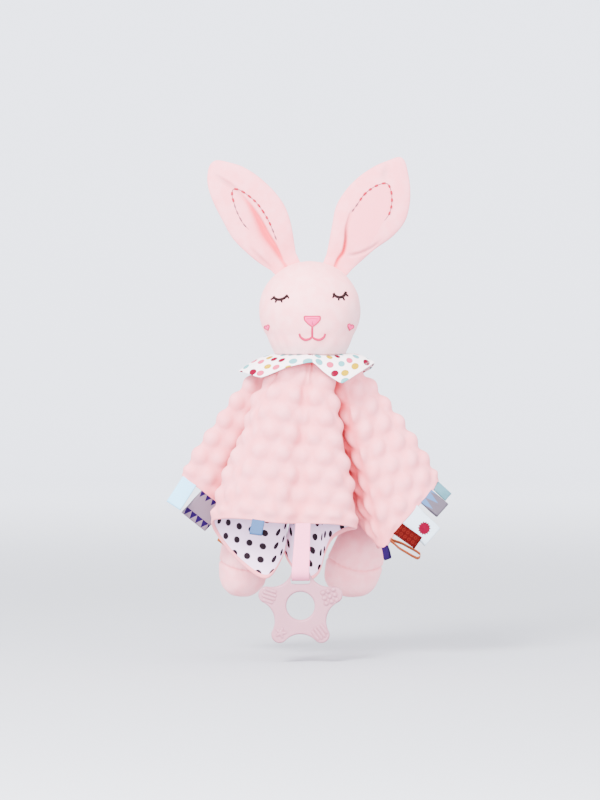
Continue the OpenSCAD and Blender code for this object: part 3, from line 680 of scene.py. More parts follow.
def make_face():
    """Embroidery on the head: two closed eyes, nose, mouth and two cheek hearts."""
    left = make_eye(
        "left_eye_stitching",
        [(-32.2, 47.2), (-30.6, 45.1), (-27.2, 44.3), (-23.2, 45.4), (-19.8, 48.2)],
        [(-32, 45.6, -34.4, 44.1), (-29.2, 44.6, -30.5, 41.5), (-25.4, 44.8, -24.9, 41.5),
         (-20.2, 47.7, -18.9, 44.9)])
    right = make_eye(
        "right_eye_stitching",
        [(18.6, 49.8), (20.6, 47.4), (24.4, 46.3), (27.8, 47.7), (29.8, 51.2)],
        [(19.4, 48.6, 18.1, 45.3), (23.6, 46.6, 23.3, 43.2), (26.8, 46.9, 28.3, 43.4),
         (29.2, 49.4, 31.6, 46.9)])
    cx, top = 0.9, 30.1
    half_nose = [(6.9, 0.0), (6.7, -3.2), (3.2, -7.0), (0.3, -8.9)]
    shape = rounded([(cx - 6.9, top)] + [(cx + x, top + z) for x, z in half_nose]
                    + [(cx - x, top + z) for x, z in half_nose[:0:-1]], 1.2)
    parts = [patch("nose_stitching", shape, (cx, top - 3.2), 0.95, nose_thread),
             ridge("nose_rim", np.vstack([shape, shape[:2]]), 1.2, 0.85, rose_thread, ends=False),
             ridge("nose_rib", path([(cx - 5.2, top - 2.2), (cx, top - 1.7), (cx + 5.2, top - 2.2)]),
                   0.5, 1.2, rose_thread)]
    nose = joined("nose_stitching", parts, "head")
    parts = [ridge("mouth_stitching", path([(cx, top - 8.6), (cx - 0.1, 12.6)]),
                   2.0, 0.8, rose_thread, taper=0.1)]
    smile = [(11, 15.6), (9.6, 12.3), (6.0, 10.3), (2.2, 11.1), (0, 12.8)]
    for s in (-1, 1):
        line = path([(cx + s * x, z) for x, z in smile], 0.4)
        parts.append(ridge("smile", line, 2.1, 0.85, rose_thread, taper=0.2))
    mouth = joined("mouth_stitching", parts, "head")
    hearts = []
    for name, x, z, roll, size in (("left_cheek_heart_stitching", -37.2, 20.8, 20, 0.8),
                                   ("right_cheek_heart_stitching", 33.2, 21.2, -16, 0.95)):
        a = np.linspace(0, 2 * np.pi, 40, endpoint=False)
        hx = np.sin(a) ** 3 * 2.8 * size
        hz = (13 * np.cos(a) - 5 * np.cos(2 * a) - 2 * np.cos(3 * a) - np.cos(4 * a)) / 16 * 3.1 * size
        c, s = np.cos(np.radians(roll)), np.sin(np.radians(roll))
        outline = np.stack([x + hx * c - hz * s, z + hx * s + hz * c], -1)
        rim = ridge("heart_rim", np.vstack([outline, outline[:2]]), 1.0, 0.6, rose_thread, ends=False)
        hearts.append(joined(name, [patch(name, outline, (x, z - 0.2), 0.5, nose_thread), rim], "head"))
    return left, right, nose, mouth, hearts


# ---------------------------------------------------------------- ears
EARS = {  # each side's reach from the ear's axis against the way along it, in mm
    "left": dict(place=-30.0, lean=-35.0, dish=3.0, thick=6.2,
                 low=[(0, 12.6), (10, 17), (25, 21.2), (39, 23.6), (59, 22), (75, 19.7),
                      (90, 15.2), (99, 9.0), (104, 0)],
                 high=[(0, 13.0), (10, 18), (23, 24), (36, 27.9), (52, 28.2), (66, 25.7),
                       (85, 18.6), (96, 10.5), (104, 0)],
                 stitch=[(5.8, 18), (8.6, 29.5), (10, 38), (10.5, 48), (9.8, 56), (7.6, 64),
                         (4.4, 71.5), (0.6, 74.6), (-3, 71.5), (-5.2, 66), (-7.6, 58.5),
                         (-9.2, 47), (-8.2, 39)],
                 grey=(14, 75)),
    "right": dict(place=30.0, lean=31.0, dish=1.5, thick=6.6,
                  low=[(0, 12.2), (8, 15), (24, 21), (38, 26), (55, 26.4), (68, 23.6),
                       (84, 16.6), (96, 8.2), (103.5, 0)],
                  high=[(0, 12.6), (10, 15.8), (25, 20.6), (41, 27.6), (57, 30.4), (73, 26.4),
                        (84, 20.4), (95, 11.6), (103.5, 0)],
                  stitch=[(-12.4, 41.5), (-11.8, 50), (-11, 60), (-8.4, 67.5), (-4.4, 74),
                          (0.4, 78), (5.2, 76), (10, 70.6), (13.6, 64), (15.6, 57), (15.2, 49.5)],
                  grey=(13, 71)),
}


def ear_frame(side):
    """Origin and axes (across, back, along) of an ear, rooted on its hinge axis."""
    e = EARS[side]
    p, l = np.radians(e["place"]), np.radians(e["lean"])
    d = (HEAD_R + 0.4 + EAR_ROOT_R) / np.cos(l - p)
    o = np.array([d * np.sin(p), 0, HEAD_Z + d * np.cos(p)])
    return o, np.array([[np.cos(l), 0, -np.sin(l)], [0, 1, 0], [np.sin(l), 0, np.cos(l)]])


def ear_reach(side, key, d):
    """Half width on one side of an ear at d mm along it, through its list of reaches,
    taken against the angle whose sine is d / length so that the tip is round."""
    pts = np.asarray(EARS[side][key], float)
    L = pts[-1, 0]
    ang = np.arcsin(np.clip(pts[:, 0] / L, 0, 1))
    return through(np.stack([ang, pts[:, 1]], -1), np.arcsin(np.clip(d / L, 0, 1)))


def crease(x, d, line, left, right, deep):
    """A fold along a line x(d): depth falls off over left and right mm on its two sides."""
    dx = x - through(line, d)
    w = np.where(dx < 0, through(left, d) if isinstance(left, list) else left, right)
    return through(deep, d) * np.exp(-(dx / w) ** 2)


def ear_folds(side, x, d):
    """Depth of an ear's folds, and the painted shade of its creases, rose and grey, at x, d on its front.
    """
    if side == "left":
        deep = [(0, 2.0), (12, 5.0), (28, 6.0), (42, 5.0), (56, 3.0), (68, 0.8), (72, 0)]
        main = crease(x, d, [(0, -0.2), (13, 2.4), (27, 3.4), (40, 4.8), (53, 5.0), (70, 3.2)],
                      [(0, 1.5), (14, 4.0), (27, 5.6), (40, 5.2), (53, 3.0), (70, 1.2)], 0.9, deep)
        tip = crease(x, d, [(60, 2.6), (78, 1.0), (86, -2.2), (94, -4.8)], 2.2, 1.6,
                     [(60, 0), (70, 1.4), (80, 2.6), (88, 1.8), (96, 0)])
        low = crease(x, d, [(0, -11), (12, -13.5), (26, -16)], 2.4, 1.4,
                     [(0, 0.4), (8, 1.4), (20, 1.0), (28, 0)])
        # Painted shade: rose along the creases as deep as they are, grey along the tip fold and the low
        # fold.
        crease_shade = main / 3.6 + 0.25 * low + 0.12 * ramp(46, 4, d) * np.exp(-((x - 1) / 14) ** 2)
        return main + tip + low, crease_shade, 0.5 * tip / 2.6 + 0.3 * low
    line = [(-5, -0.8), (2, -1.9), (9, -1.4), (15, -3.2), (20, -5.4), (26, -8.6), (33, -11),
            (41, -12.6), (48, -12)]
    deep = [(-5, 1.6), (4, 3.0), (12, 4.6), (20, 4.4), (28, 2.8), (36, 1.8), (44, 0.8), (48, 0)]
    main = crease(x, d, line, 1.0, 1.5, deep)
    dx, along = (x - 10) * 0.78 + (d - 20) * -0.62, (x - 10) * 0.62 + (d - 20) * 0.78
    low = (2.0 * np.exp(-((dx - 4.0 + 0.012 * along ** 2) / 1.5) ** 2)
           * ramp(-15, -6, along) * ramp(20, 9, along))
    tip = crease(x, d, [(78, -4), (86, -6), (92, -8)], 3.0, 3.0, [(76, 0), (86, 0.8), (94, 0)])
    # Painted shade: rose along the main crease and near the root, grey along the creases.
    crease_shade = (main / 3.0 * ramp(34, 18, d) + 0.35 * main / 2.8
            + 0.14 * ramp(34, 4, d) * np.exp(-((x + 2) / 10) ** 2))
    grey = 0.42 * main / 2.8 * ramp(14, 26, d) + 0.3 * low + 0.5 * tip
    return main + low + tip, crease_shade + 0.14 * low, grey


def tube(name, C, r, mat, out, turns=8, sink=0.0):
    """Round thread of radius r along the centres C, rounded and sunk at both ends."""
    k = np.linspace(-1, 1, len(C))
    rad = r * np.sqrt(np.clip(1 - (0.985 * k) ** 6, 0, 1))
    t = unit(np.gradient(C, axis=0))
    side = unit(np.cross(t, out))
    a = np.linspace(0, 2 * np.pi, turns, endpoint=False)[None, :, None]
    ring = ((C - out * (sink * k ** 4)[:, None])[:, None]
            + rad[:, None, None] * (side[:, None] * np.cos(a) + out * np.sin(a)))
    return grid(name, ring, mat, wrap_v=True, cap_first=True, cap_last=True)


def ear_surface(side, d, q):
    """Ear surface at d mm along it and turn q round its section: x = reach cos q,
    y = -thickness sin q, dished forward at its edges, with its folds sunk in its front."""
    e = EARS[side]
    L = e["low"][-1][0]
    c = np.sign(np.cos(q)) * np.abs(np.cos(q)) ** 0.9
    w = np.where(c < 0, ear_reach(side, "low", d), ear_reach(side, "high", d))
    u = np.clip(d / L, 0, 1)
    t = np.where(u < 0.42, EAR_ROOT_R + (e["thick"] - EAR_ROOT_R) * np.sin(np.pi / 2 * u / 0.42),
                 e["thick"] * np.sqrt(np.clip(1 - ((u - 0.42) / 0.58) ** 2, 0, 1)))
    t = t * (0.42 + 0.58 * ramp(-3, 18, d)) * np.sqrt(1 - np.clip(-d / EAR_SEAM, 0, 1) ** 4)
    x = w * c * (1 - 0.1 * ramp(0, -EAR_SEAM, d))
    front = np.clip(np.sin(q), 0, 1) ** 0.5
    # The folds' depth, and their painted shade in rose and grey.
    deep, crease_shade, grey = ear_folds(side, x, d)
    y = -t * np.sin(q) - e["dish"] * np.abs(c) ** 2 * ramp(0, 24, d) * ramp(L, L * 0.8, d) + deep * front
    return np.stack([x, y, d + 0 * x], -1), np.clip(crease_shade * front, 0, 1), np.clip(grey * front, 0, 1)


def ear_front_at(side, d, x):
    """The place on an ear's front at x, d."""
    w = np.where(x < 0, ear_reach(side, "low", d), ear_reach(side, "high", d))
    q = np.arccos(np.clip(np.abs(x) / np.maximum(w, 1), 0, 0.999) ** (1 / 0.9))
    return ear_surface(side, d, np.where(x < 0, np.pi - q, q))[0]


def make_ear(side):
    """Stuffed ear, as rings round its section from seam to tip, and its running stitch:
    a thin thread along the loop with raised stitches on it."""
    e = EARS[side]
    L = e["low"][-1][0]
    root = -np.cos(np.linspace(0.02, np.pi / 2, 9))[:-1] * EAR_SEAM
    d = np.concatenate([root, L * np.sin(np.pi / 2 * np.linspace(0, 0.9995, 170))])[:, None]
    q = np.linspace(0, 2 * np.pi, 220, endpoint=False)[None]
    P, crease_shade, grey = ear_surface(side, d + 0 * q, q + 0 * d)
    P[..., 1] += 0.3 * waves(P, 24, 11 if side == "left" else 12) * ramp(0, 15, d) * (np.sin(q) < 0)
    o, axes = ear_frame(side)
    loop = path(e["stitch"], 0.3)
    edges = [loop[:np.argmax(loop[:, 1])], loop[np.argmax(loop[:, 1]):][::-1]]
    edges.sort(key=lambda s: s[:, 0].mean())
    lo, hi = (np.interp(P[..., 2], s[:, 1], s[:, 0]) for s in edges)
    inside = ramp(-0.5, 0.5, P[..., 0] - lo) * ramp(-0.5, 0.5, hi - P[..., 0]) * (np.sin(q) > 0)
    top = loop[:, 1].max()
    inside = inside * ramp(top + 0.5, top - 0.5, P[..., 2]) * ramp(8, 30, P[..., 2])
    # The creases' painted shade goes into the ear's colour; the panel is the inner panel's own pinker
    # cloth.
    ob = grid(side + "_ear", P @ axes + o, ear_mat, wrap_v=True, cap_first=True, cap_last=True,
              attrs={"painted_shade": crease_shade, "grey": grey,
                     "panel": inside * (0.35 if side == "left" else 0.8)}, body=side + "_ear")
    out = np.array([0, -1.0, 0])
    C = ear_front_at(side, loop[:, 1], loop[:, 0]) @ axes + o
    threads = [tube("thread", C[::2] + out * 0.12, 0.28, grey_thread, out, 6)]
    s = np.arange(len(loop)) * 0.3
    at = 1.0
    while at + 4 < s[-1]:
        long = rng.uniform(3.2, 4.4)
        part = C[int(at / 0.3):int((at + long) / 0.3)]
        mid = at + long / 2
        crimson = e["grey"][0] < mid < e["grey"][1]
        r, mat = (0.86, crimson_thread) if crimson else (0.56, grey_thread)
        threads.append(tube("stitch", part + out * 0.32, r, mat, out, 8, 0.5))
        at += long + rng.uniform(1.8, 2.6)
    st = joined(side + "_ear_running_stitch", threads, side + "_ear")
    return ob, st


# ---------------------------------------------------------------- collar
COLLAR_UNDER = HEAD_R + 0.05 + 0.5 + 0.4 + 0.9
COLLAR_IN = NECK_R + 0.8


def round_head(r):
    """Height of the collar's underside r from the middle, where it follows the head."""
    return HEAD_Z - np.sqrt(COLLAR_UNDER ** 2 - r ** 2)


def make_collar():
    """Pointed collar: from each angle round the neck, a Bezier curve under the head and out
    to the edge; two faces 0.9 mm apart joined by a rolled rim."""
    m = 420
    t = np.linspace(0, len(COLLAR), m, endpoint=False)
    c = straight_curve(COLLAR, t) * 0.72 + closed_curve(COLLAR, t) * 0.28
    c[:, 1:] *= 58.0 / 60.0
    a = np.radians(c[:, 0])
    away = np.stack([-np.sin(a), -np.cos(a), 0 * a], -1)
    aside = np.abs(np.sin(a))[:, None] ** 2
    seat, neck = round_head(26.5), round_head(COLLAR_IN)
    s = np.concatenate([np.linspace(0, 0.96, 44), [0.985, 1.0]])[:, None, None]
    P = bezier(away * COLLAR_IN + UP * (neck - 0.6), away * 22.5 + UP * (neck * 0.6 + seat * 0.4 - 1.4),
               away * (30.5 + 3.5 * aside) + UP * (seat + 0.2 + 3.0 * aside), c[:, 1:], s)
    sv = s[..., 0]
    P = P + UP * (0.8 * np.sin(a[None] * 5 + 0.6) * ramp(0.45, 1, sv))[..., None]
    n = unit(np.cross(np.gradient(P, axis=0), np.roll(P, -1, 1) - np.roll(P, 1, 1)))
    n = n * np.where(n[..., 2:] < 0, -1, 1)
    ln = np.concatenate([[np.zeros(m)], np.cumsum(np.linalg.norm(np.diff(P, axis=0), axis=-1), 0)])
    step = np.linalg.norm(np.roll(P[30], -1, 0) - P[30], axis=-1)
    round_ = np.concatenate([[0], np.cumsum(step)[:-1]])[None] + 0 * ln
    cloth = np.stack([round_, ln, 0 * ln], -1)
    edge = ln[-1][None] - ln
    th = 0.9
    stitch = np.exp(-((edge - 2.6) / 0.28) ** 2) * (np.sin(round_ * 2.2) > -0.35)
    top, low = P + n * th, P
    d = unit(P[-1] - P[-4])
    mid = P[-1] + n[-1] * th / 2
    roll = [mid + n[-1] * th / 2 * np.sin(x) + d * th * 0.6 * np.cos(x)
            for x in np.linspace(np.pi / 2, -np.pi / 2, 7)[1:-1]]
    Q = np.concatenate([top, np.array(roll), low[::-1]])
    k = len(roll)
    cl = np.concatenate([cloth, np.repeat(cloth[-1:], k, 0), cloth[::-1]])
    st = np.concatenate([stitch, np.zeros((k, m)), stitch[::-1]])
    return grid("collar_cotton", Q, collar_mat, wrap_v=True, wrap_u=True,
                attrs={"cloth": cl, "stitch": st}, body="blanket")


# ---------------------------------------------------------------- blanket
NECK_Z = round_head(COLLAR_IN) - PILE - 0.1


def drape(h, s):
    """Point of the cloth at hem entry h (angle, x, y, z, fullness) and share s from neck to
    hem: a Bezier curve over the shoulder."""
    a = np.radians(h[..., 0])
    away = np.stack([-np.sin(a), -np.cos(a), 0 * a], -1)
    neck = away * (NECK_R + 0.4 + LINING + 0.1) + UP * NECK_Z
    foot = h[..., 1:4]
    out = foot * [1, 1, 0]
    full = out * h[..., 4:5]
    push = np.clip(2.5 - (full * away).sum(-1, keepdims=True), 0, None)
    return bezier(neck, neck + full + away * push - UP * 5,
                  neck * [0.3, 0.3, 0] + UP * foot[..., 2:3] * 0.38 + out * (h[..., 4:5] + 0.25), foot, s)


def cut(angle):
    """Distance from the cloth's middle to its edge: a square with rounded corners."""
    a = np.radians(angle)
    return SIDE / 2 * (np.abs(np.cos(a)) ** 10 + np.abs(np.sin(a)) ** 10) ** -0.1


def hem_columns(m):
    """Hem entries at m places evenly spaced along the hem."""
    t = np.linspace(0, len(HEM), 4000)
    p = closed_curve(HEM, t)
    ln = np.concatenate([[0], np.cumsum(np.linalg.norm(np.diff(p[:, 1:4], axis=0), axis=1))])
    return closed_curve(HEM, np.interp(np.linspace(0, ln[-1], m, endpoint=False), ln, t))


def cloth_grid(m, s):
    """The drape at m places along the hem and shares s: hem entries, points, outward
    normals, lengths from the neck, and places on the flat cloth."""
    h = hem_columns(m)[None]
    P = drape(h, s[:, None, None])
    n = unit(np.cross(np.roll(P, -1, 1) - np.roll(P, 1, 1), np.gradient(P, axis=0)))
    ln = np.concatenate([[np.zeros(m)], np.cumsum(np.linalg.norm(np.diff(P, axis=0), axis=-1), 0)])
    a = np.radians(h[..., 0])
    rho = 16 + (cut(h[..., 0]) - 16) * ln / ln[-1:]
    flat = np.stack([-np.sin(a) * rho, -np.cos(a) * rho, 0 * rho], -1)
    return h, P, n, ln, flat


def turned_in(P, n):
    """How much each point of the cloth is shut in: the share of a fan of 40 rays from it
    that meet the cloth within 45 mm, found on a coarse copy and read back at every point."""
    k, j = 4, 5
    Q, N = P[::k, ::j], n[::k, ::j]
    rows, cols = Q.shape[:2]
    idx = lambda a, b: a * cols + b % cols
    faces = [(idx(a, b), idx(a, b + 1), idx(a + 1, b + 1), idx(a + 1, b))
             for a in range(rows - 1) for b in range(cols)]
    tree = BVHTree.FromPolygons([Vector(v) for v in Q.reshape(-1, 3).tolist()], faces)
    fan = unit(np.random.default_rng(5).normal(size=(40, 3)))
    shut = np.zeros((rows, cols))
    for a in range(rows):
        for b in range(cols):
            nv = N[a, b]
            o = Vector(Q[a, b] + nv * 1.2)
            hit = tot = 0.0
            for f in fan:
                f = f if f @ nv > 0 else -f
                wgt = f @ nv
                tot += wgt
                r = tree.ray_cast(o, Vector(f), 45.0)
                if r[0] is not None:
                    hit += wgt * (1 - r[3] / 60.0)
            shut[a, b] = hit / tot
    shut = (shut + np.roll(shut, 1, 1) + np.roll(shut, -1, 1)) / 3
    ri = np.clip(np.arange(P.shape[0]) / k, 0, rows - 1)
    ci = np.arange(P.shape[1]) / j
    r0 = np.floor(ri).astype(int)
    r1 = np.minimum(r0 + 1, rows - 1)
    c0 = np.floor(ci).astype(int) % cols
    c1 = (c0 + 1) % cols
    fr, fc = (ri - r0)[:, None], (ci - np.floor(ci))[None]
    return ((shut[r0][:, c0] * (1 - fc) + shut[r0][:, c1] * fc) * (1 - fr)
            + (shut[r1][:, c0] * (1 - fc) + shut[r1][:, c1] * fc) * fr)


def drape_lift(h, flat, s):
    """Soft folds added to the drape, less the groove of the seam down its front."""
    ang = (h[..., 0] + 180) % 360 - 180
    groove = 1.9 * np.exp(-((ang - 2.3) / 2.7) ** 2) * ramp(0.06, 0.3, s)
    return 1.6 * waves(flat, 58, 21, 2) * ramp(0.1, 0.4, s), groove, ang


def fan(h, P, flat, refs, narrow=1.0):
    """Flat coordinates with true lengths: radius on the flat cloth, and the length along
    each row from the nearest of the directions refs, so that a print or a raised dot
    keeps its shape where the cloth is gathered."""
    rho = np.linalg.norm(flat, axis=-1)
    step = np.linalg.norm(np.roll(P, -1, 1) - P, axis=-1)
    along = np.concatenate([np.zeros((len(P), 1)), np.cumsum(step, 1)[:, :-1]], 1)
    total = step.sum(1)[:, None]
    a = h[..., 0] % 360 + 0 * rho
    dist = np.stack([np.abs((a - r + 180) % 360 - 180) for r in refs])
    near = dist.argmin(0)
    x, y = np.zeros_like(rho), np.zeros_like(rho)
    for i, ref in enumerate(refs):
        j = int(np.argmin(np.abs((h[0, :, 0] - ref + 180) % 360 - 180)))
        off = (along - along[:, j:j + 1] + total / 2) % total - total / 2
        ray = np.radians(ref) + narrow * off / np.maximum(rho, 20)
        x = np.where(near == i, -np.sin(ray) * rho, x)
        y = np.where(near == i, -np.cos(ray) * rho, y)
    edge = np.sort(dist, 0)
    return np.stack([x, y, 0 * x], -1), ramp(0, 3, edge[1] - edge[0])


def raised_dots(flat, pitch=18.4, r=8.4):
    """Height share of the plush's raised dots: rows offset by half a pitch."""
    row = pitch * 0.8660
    out = np.zeros(flat.shape[:-1])
    j0 = np.round(flat[..., 1] / row)
    for dj in (-1, 0, 1):
        j = j0 + dj
        off = np.where(np.mod(j, 2) == 1, pitch / 2, 0)
        i0 = np.round((flat[..., 0] - off) / pitch)
        for di in (-1, 0, 1):
            cx, cy = (i0 + di) * pitch + off, j * row
            d = np.hypot(flat[..., 0] - cx, flat[..., 1] - cy)
            out = np.maximum(out, np.clip(1 - (d / r) ** 2, 0, 1) ** 1.4)
    return out


def make_blanket():
    """Outer plush: the drape lifted by the pile, its raised dots, a shallow groove down the
    front and soft waves; at the hem it rolls under and 2 mm back up over the lining."""
    s = np.linspace(0, 1, 132) ** 0.95
    h, P, n, ln, flat = cloth_grid(690, s)
    shut = turned_in(P, n)
    sv = s[:, None]
    folds, groove, ang = drape_lift(h, flat, sv)
    notch = 1.2 * np.exp(-((ang + 2.6) / 0.9) ** 2) * ramp(0.03, 0.1, sv) * ramp(0.5, 0.2, sv)
    true, whole = fan(h, P, flat, (4, 42, 84, 130, 180, 230, 278, 318))
    dots = raised_dots(true) * whole * ramp(0.03, 0.2, sv) * ramp(0, 7, ln[-1:] - ln)
    Q = P + n * (PILE + 3.9 * dots + folds - groove - notch)[..., None]
    down = unit(P[-1] - P[-3])
    base_ = (folds - groove)[-1]
    r = (PILE + 0.9) / 2
    mid = P[-1] + n[-1] * ((PILE - 0.9) / 2 + base_)[:, None]
    roll = [mid + n[-1] * r * np.sin(a) + down * r * np.cos(a) * 1.25
            for a in np.linspace(np.pi / 2, -np.pi / 2, 9)[1:]]
    back = [P[-1] - down * k + n[-1] * (base_ - off)[:, None]
            for k, off in ((0.7, 0.95), (1.5, 0.9), (2.2, 0.3))]
    Q = np.concatenate([Q, np.array(roll), np.array(back)])
    extra = len(roll) + len(back)
    # Painted shade: deep rose where the cloth is shut in by itself, in a band under the collar, along the
    # front groove, in the valleys at the sides of the front panel, between the raised dots and in the
    # collar notch; half of it on the rolled hem.
    painted_shade = np.clip((shut - 0.06) / 0.36, 0, 1) ** 1.1 * (1 - 0.4 * dots)
    painted_shade = painted_shade + 0.75 * ramp(0.21, 0.12, sv)
    groove_shade = np.exp(-((ang - 2.3) / 3.6) ** 4) * ramp(0.1, 0.3, sv)
    valley_shade = 0.34 * np.exp(-((ang - 77) / 5) ** 2) + 0.24 * np.exp(-((ang + 61) / 6) ** 2)
    painted_shade = painted_shade + valley_shade * ramp(0.1, 0.3, sv) * (1 - 0.5 * dots)
    painted_shade = np.clip(painted_shade + 0.13 * (1 - dots) ** 2 + 0.1 * groove_shade * (1 - dots) + 0.25 * notch, 0, 1)
    painted_shade = np.concatenate([painted_shade, np.repeat(painted_shade[-1:] * 0.5, extra, 0)])
    return grid("blanket_plush_cloth", Q, blanket_mat, wrap_v=True, ref=CLOTH_MIDDLE,
                attrs={"painted_shade": painted_shade * 0.9}, body="blanket")


def make_lining():
    """Cotton lining: the drape set back by its own thickness, its dots printed by fan()."""
    s = np.linspace(0, 0.994, 96)
    h, P, n, ln, flat = cloth_grid(600, s)
    shut = turned_in(P, -n)
    folds, groove, _ = drape_lift(h, flat, s[:, None])
    Q = P + n * (folds - groove - LINING)[..., None]
    true, _ = fan(h, P, flat, (45, 135, 225, 315), 0.86)
    # Painted shade: how far the lining is shut in by the cloth round it, read by its material.
    return grid("blanket_lining_cloth", Q, lining_mat, wrap_v=True, ref=CLOTH_MIDDLE, inward=True,
                attrs={"cloth": true, "painted_shade": np.clip((shut - 0.30) / 0.6, 0, 1)}, body="blanket")


# ---------------------------------------------------------------- ribbon loops and strap
def loop_path(length, r, root, n_side=26, n_turn=22):
    """Half outline of a loop from its sewn root down one side, round the end and back up,
    as points (thickness, down) with their outward normals."""
    tilt = np.arcsin((r - root) / length)
    t = np.linspace(0, 1, n_side)[:, None]
    a0 = np.array([root * np.cos(tilt), root * np.sin(tilt)])
    a1 = np.array([r * np.cos(tilt), -length + r * np.sin(tilt)])
    right = a0 + (a1 - a0) * t
    nr = np.repeat([[np.cos(tilt), np.sin(tilt)]], n_side, 0)
    ang = np.linspace(tilt, -np.pi - tilt, n_turn)[1:-1, None]
    turn = np.concatenate([r * np.cos(ang), -length + r * np.sin(ang)], 1)
    nt = np.concatenate([np.cos(ang), np.sin(ang)], 1)
    left, nl = right[::-1] * [-1, 1], nr[::-1] * [-1, 1]
    return np.concatenate([right, turn, left]), np.concatenate([nr, nt, nl])


def ribbon(name, frame_o, wide, thick, down, length, r, width, th, mat, body, root=0.55, seed=1, bow=1.0,
           narrow=1.0, aside=0.0):
    """Closed ribbon of the given width and thickness bent along loop_path, gently waved;
    bow swells the loop between its root and its end, and the root may be narrowed and
    set aside."""
    C, N = loop_path(length, r, root)
    dn = np.clip(-C[:, 1] / length, 0, 1)
    C = C.copy()
    C[:, 0] *= 1 + (bow - 1) * np.sin(np.pi * dn) ** 1.5
    k = np.linspace(-1, 1, 15)
    L = np.concatenate([[0], np.cumsum(np.linalg.norm(np.diff(C, axis=0), axis=1))])
    wob = 0.35 * np.sin(L * 0.35 + seed)[:, None] * (k[None] ** 2) * ramp(0.1, 0.5, dn)[:, None]
    X = k[None] * width / 2 * (narrow + (1 - narrow) * dn[:, None]) + aside * (1 - dn[:, None])
    rows = []
    for off in (th, 0.0):
        T = C[:, None, 0] + N[:, None, 0] * off + wob
        Z = C[:, None, 1] + N[:, None, 1] * off + 0 * wob
        rows.append(frame_o + wide * X[..., None] + thick * T[..., None] - down * Z[..., None])
    Q = np.concatenate([rows[0], rows[1][:, ::-1]], 1)
    x = np.concatenate([k, k[::-1]]) * width / 2
    cl = np.stack([np.repeat(x[None], len(C), 0), np.repeat(L[:, None], 2 * len(k), 1),
                   np.repeat((width / 2 - np.abs(x))[None], len(C), 0)], -1)
    return grid(name, Q, mat, wrap_v=True, attrs={"cloth": cl}, body=body)


TAGS = {  # hem angle, width, length, opening, fold out of the cloth, slant
    "pale_blue": (87.2, 14, 23, 2.4, 16, -4), "lavender": (78.6, 26, 25, 2.4, -9, 0),
    "left_orange": (69.3, 9, 23, 2.4, 12, 0), "blue": (14, 10.5, 13, 2.4, 32, 0),
    "navy": (297.6, 6, 9, 2.4, 14, 0), "right_orange": (294.7, 7, 27, 3.8, 4, -4),
    "red": (291.1, 9, 20, 2.4, 18, 0), "white": (285.9, 20, 27, 2.6, -12, 0),
    "grey": (279, 15, 22, 2.6, 14, 0), "teal": (274, 8, 19, 3.4, -8, -8)}


def hem_at(angle):
    """Hem entry at an angle on the flat cloth."""
    i = int(np.max(np.nonzero(HEM[:, 0] <= angle)[0]))
    nxt = HEM[(i + 1) % len(HEM), 0] + (360 if i + 1 == len(HEM) else 0)
    return closed_curve(HEM, np.array([i + (angle - HEM[i, 0]) / (nxt - HEM[i, 0])]))


def tag_frame(tag):
    """Where a ribbon loop is sewn to the hem: its root and its across, out and down axes."""
    ang, width, _, _, fold, slant = tag
    half = width / SIDE * 95
    at = lambda a, s: drape(hem_at(a), s)[0]
    middle = at(ang, 1.0)
    wide = unit(at(ang - half, 1.0) - at(ang + half, 1.0))
    cloth = middle - at(ang, 0.9)
    down = unit(cloth - wide * (cloth @ wide))
    thick = np.cross(down, wide)
    clear = 0.55 + 0.5 + 0.2 + width / 2 * np.sin(np.radians(abs(slant)))
    seat = middle + down * clear + thick * (PILE - LINING) / 2
    f, s = np.radians(fold), np.radians(slant)
    # turn about the across axis by fold, then about the out axis by slant
    M = np.stack([wide, thick, -down], 1)
    Rx = np.array([[1, 0, 0], [0, np.cos(f), -np.sin(f)], [0, np.sin(f), np.cos(f)]])
    Ry = np.array([[np.cos(s), 0, np.sin(s)], [0, 1, 0], [-np.sin(s), 0, np.cos(s)]])
    M = M @ Rx @ Ry
    return seat, M[:, 0], M[:, 1], -M[:, 2]


TAG_MATS = {
    "pale_blue": ribbon_material("pale_blue_satin", (0.26, 0.62, 0.88)),
    "lavender": ribbon_material("lavender_triangles", (0.17, 0.12, 0.155),
                                triangles((0.013, 0.0035, 0.045), 6.2, 7.0, 20.5), shine=0.6),
    "left_orange": ribbon_material("orange_satin", (0.28, 0.075, 0.02)),
    "blue": ribbon_material("blue_satin", (0.045, 0.09, 0.19)),
    "navy": ribbon_material("navy_satin", (0.012, 0.004, 0.04)),
    "right_orange": ribbon_material("coral_satin", (0.30, 0.07, 0.022)),
    "red": ribbon_material("patterned_red", (0.042, 0.0012, 0.0012),
                           ringed_dots((0.075, 0.006, 0.004), 4.2), shine=0.6),
    "white": ribbon_material("white_scallop", (0.56, 0.66, 0.76),
                             scalloped_disc((0.13, 0.0006, 0.016), 0.0, 18.5, 5.4, 14)),
    "grey": ribbon_material("grey_triangles", (0.085, 0.07, 0.09),
                            triangles((0.06, 0.12, 0.24), 7.0, 12.0, 60), shine=0.6),
    "teal": ribbon_material("teal_satin", (0.09, 0.21, 0.25)),
}


TAG_SET = {  # how a loop is set: turn about its length in degrees, swell, mm longer, share of width
    "right_orange": (62, 2.1, -1, 0.85), "red": (0, 1.0, 0, 1.3), "grey": (0, 1.3, -6, 1.0),
    "teal": (30, 1.6, -6, 1.0)}


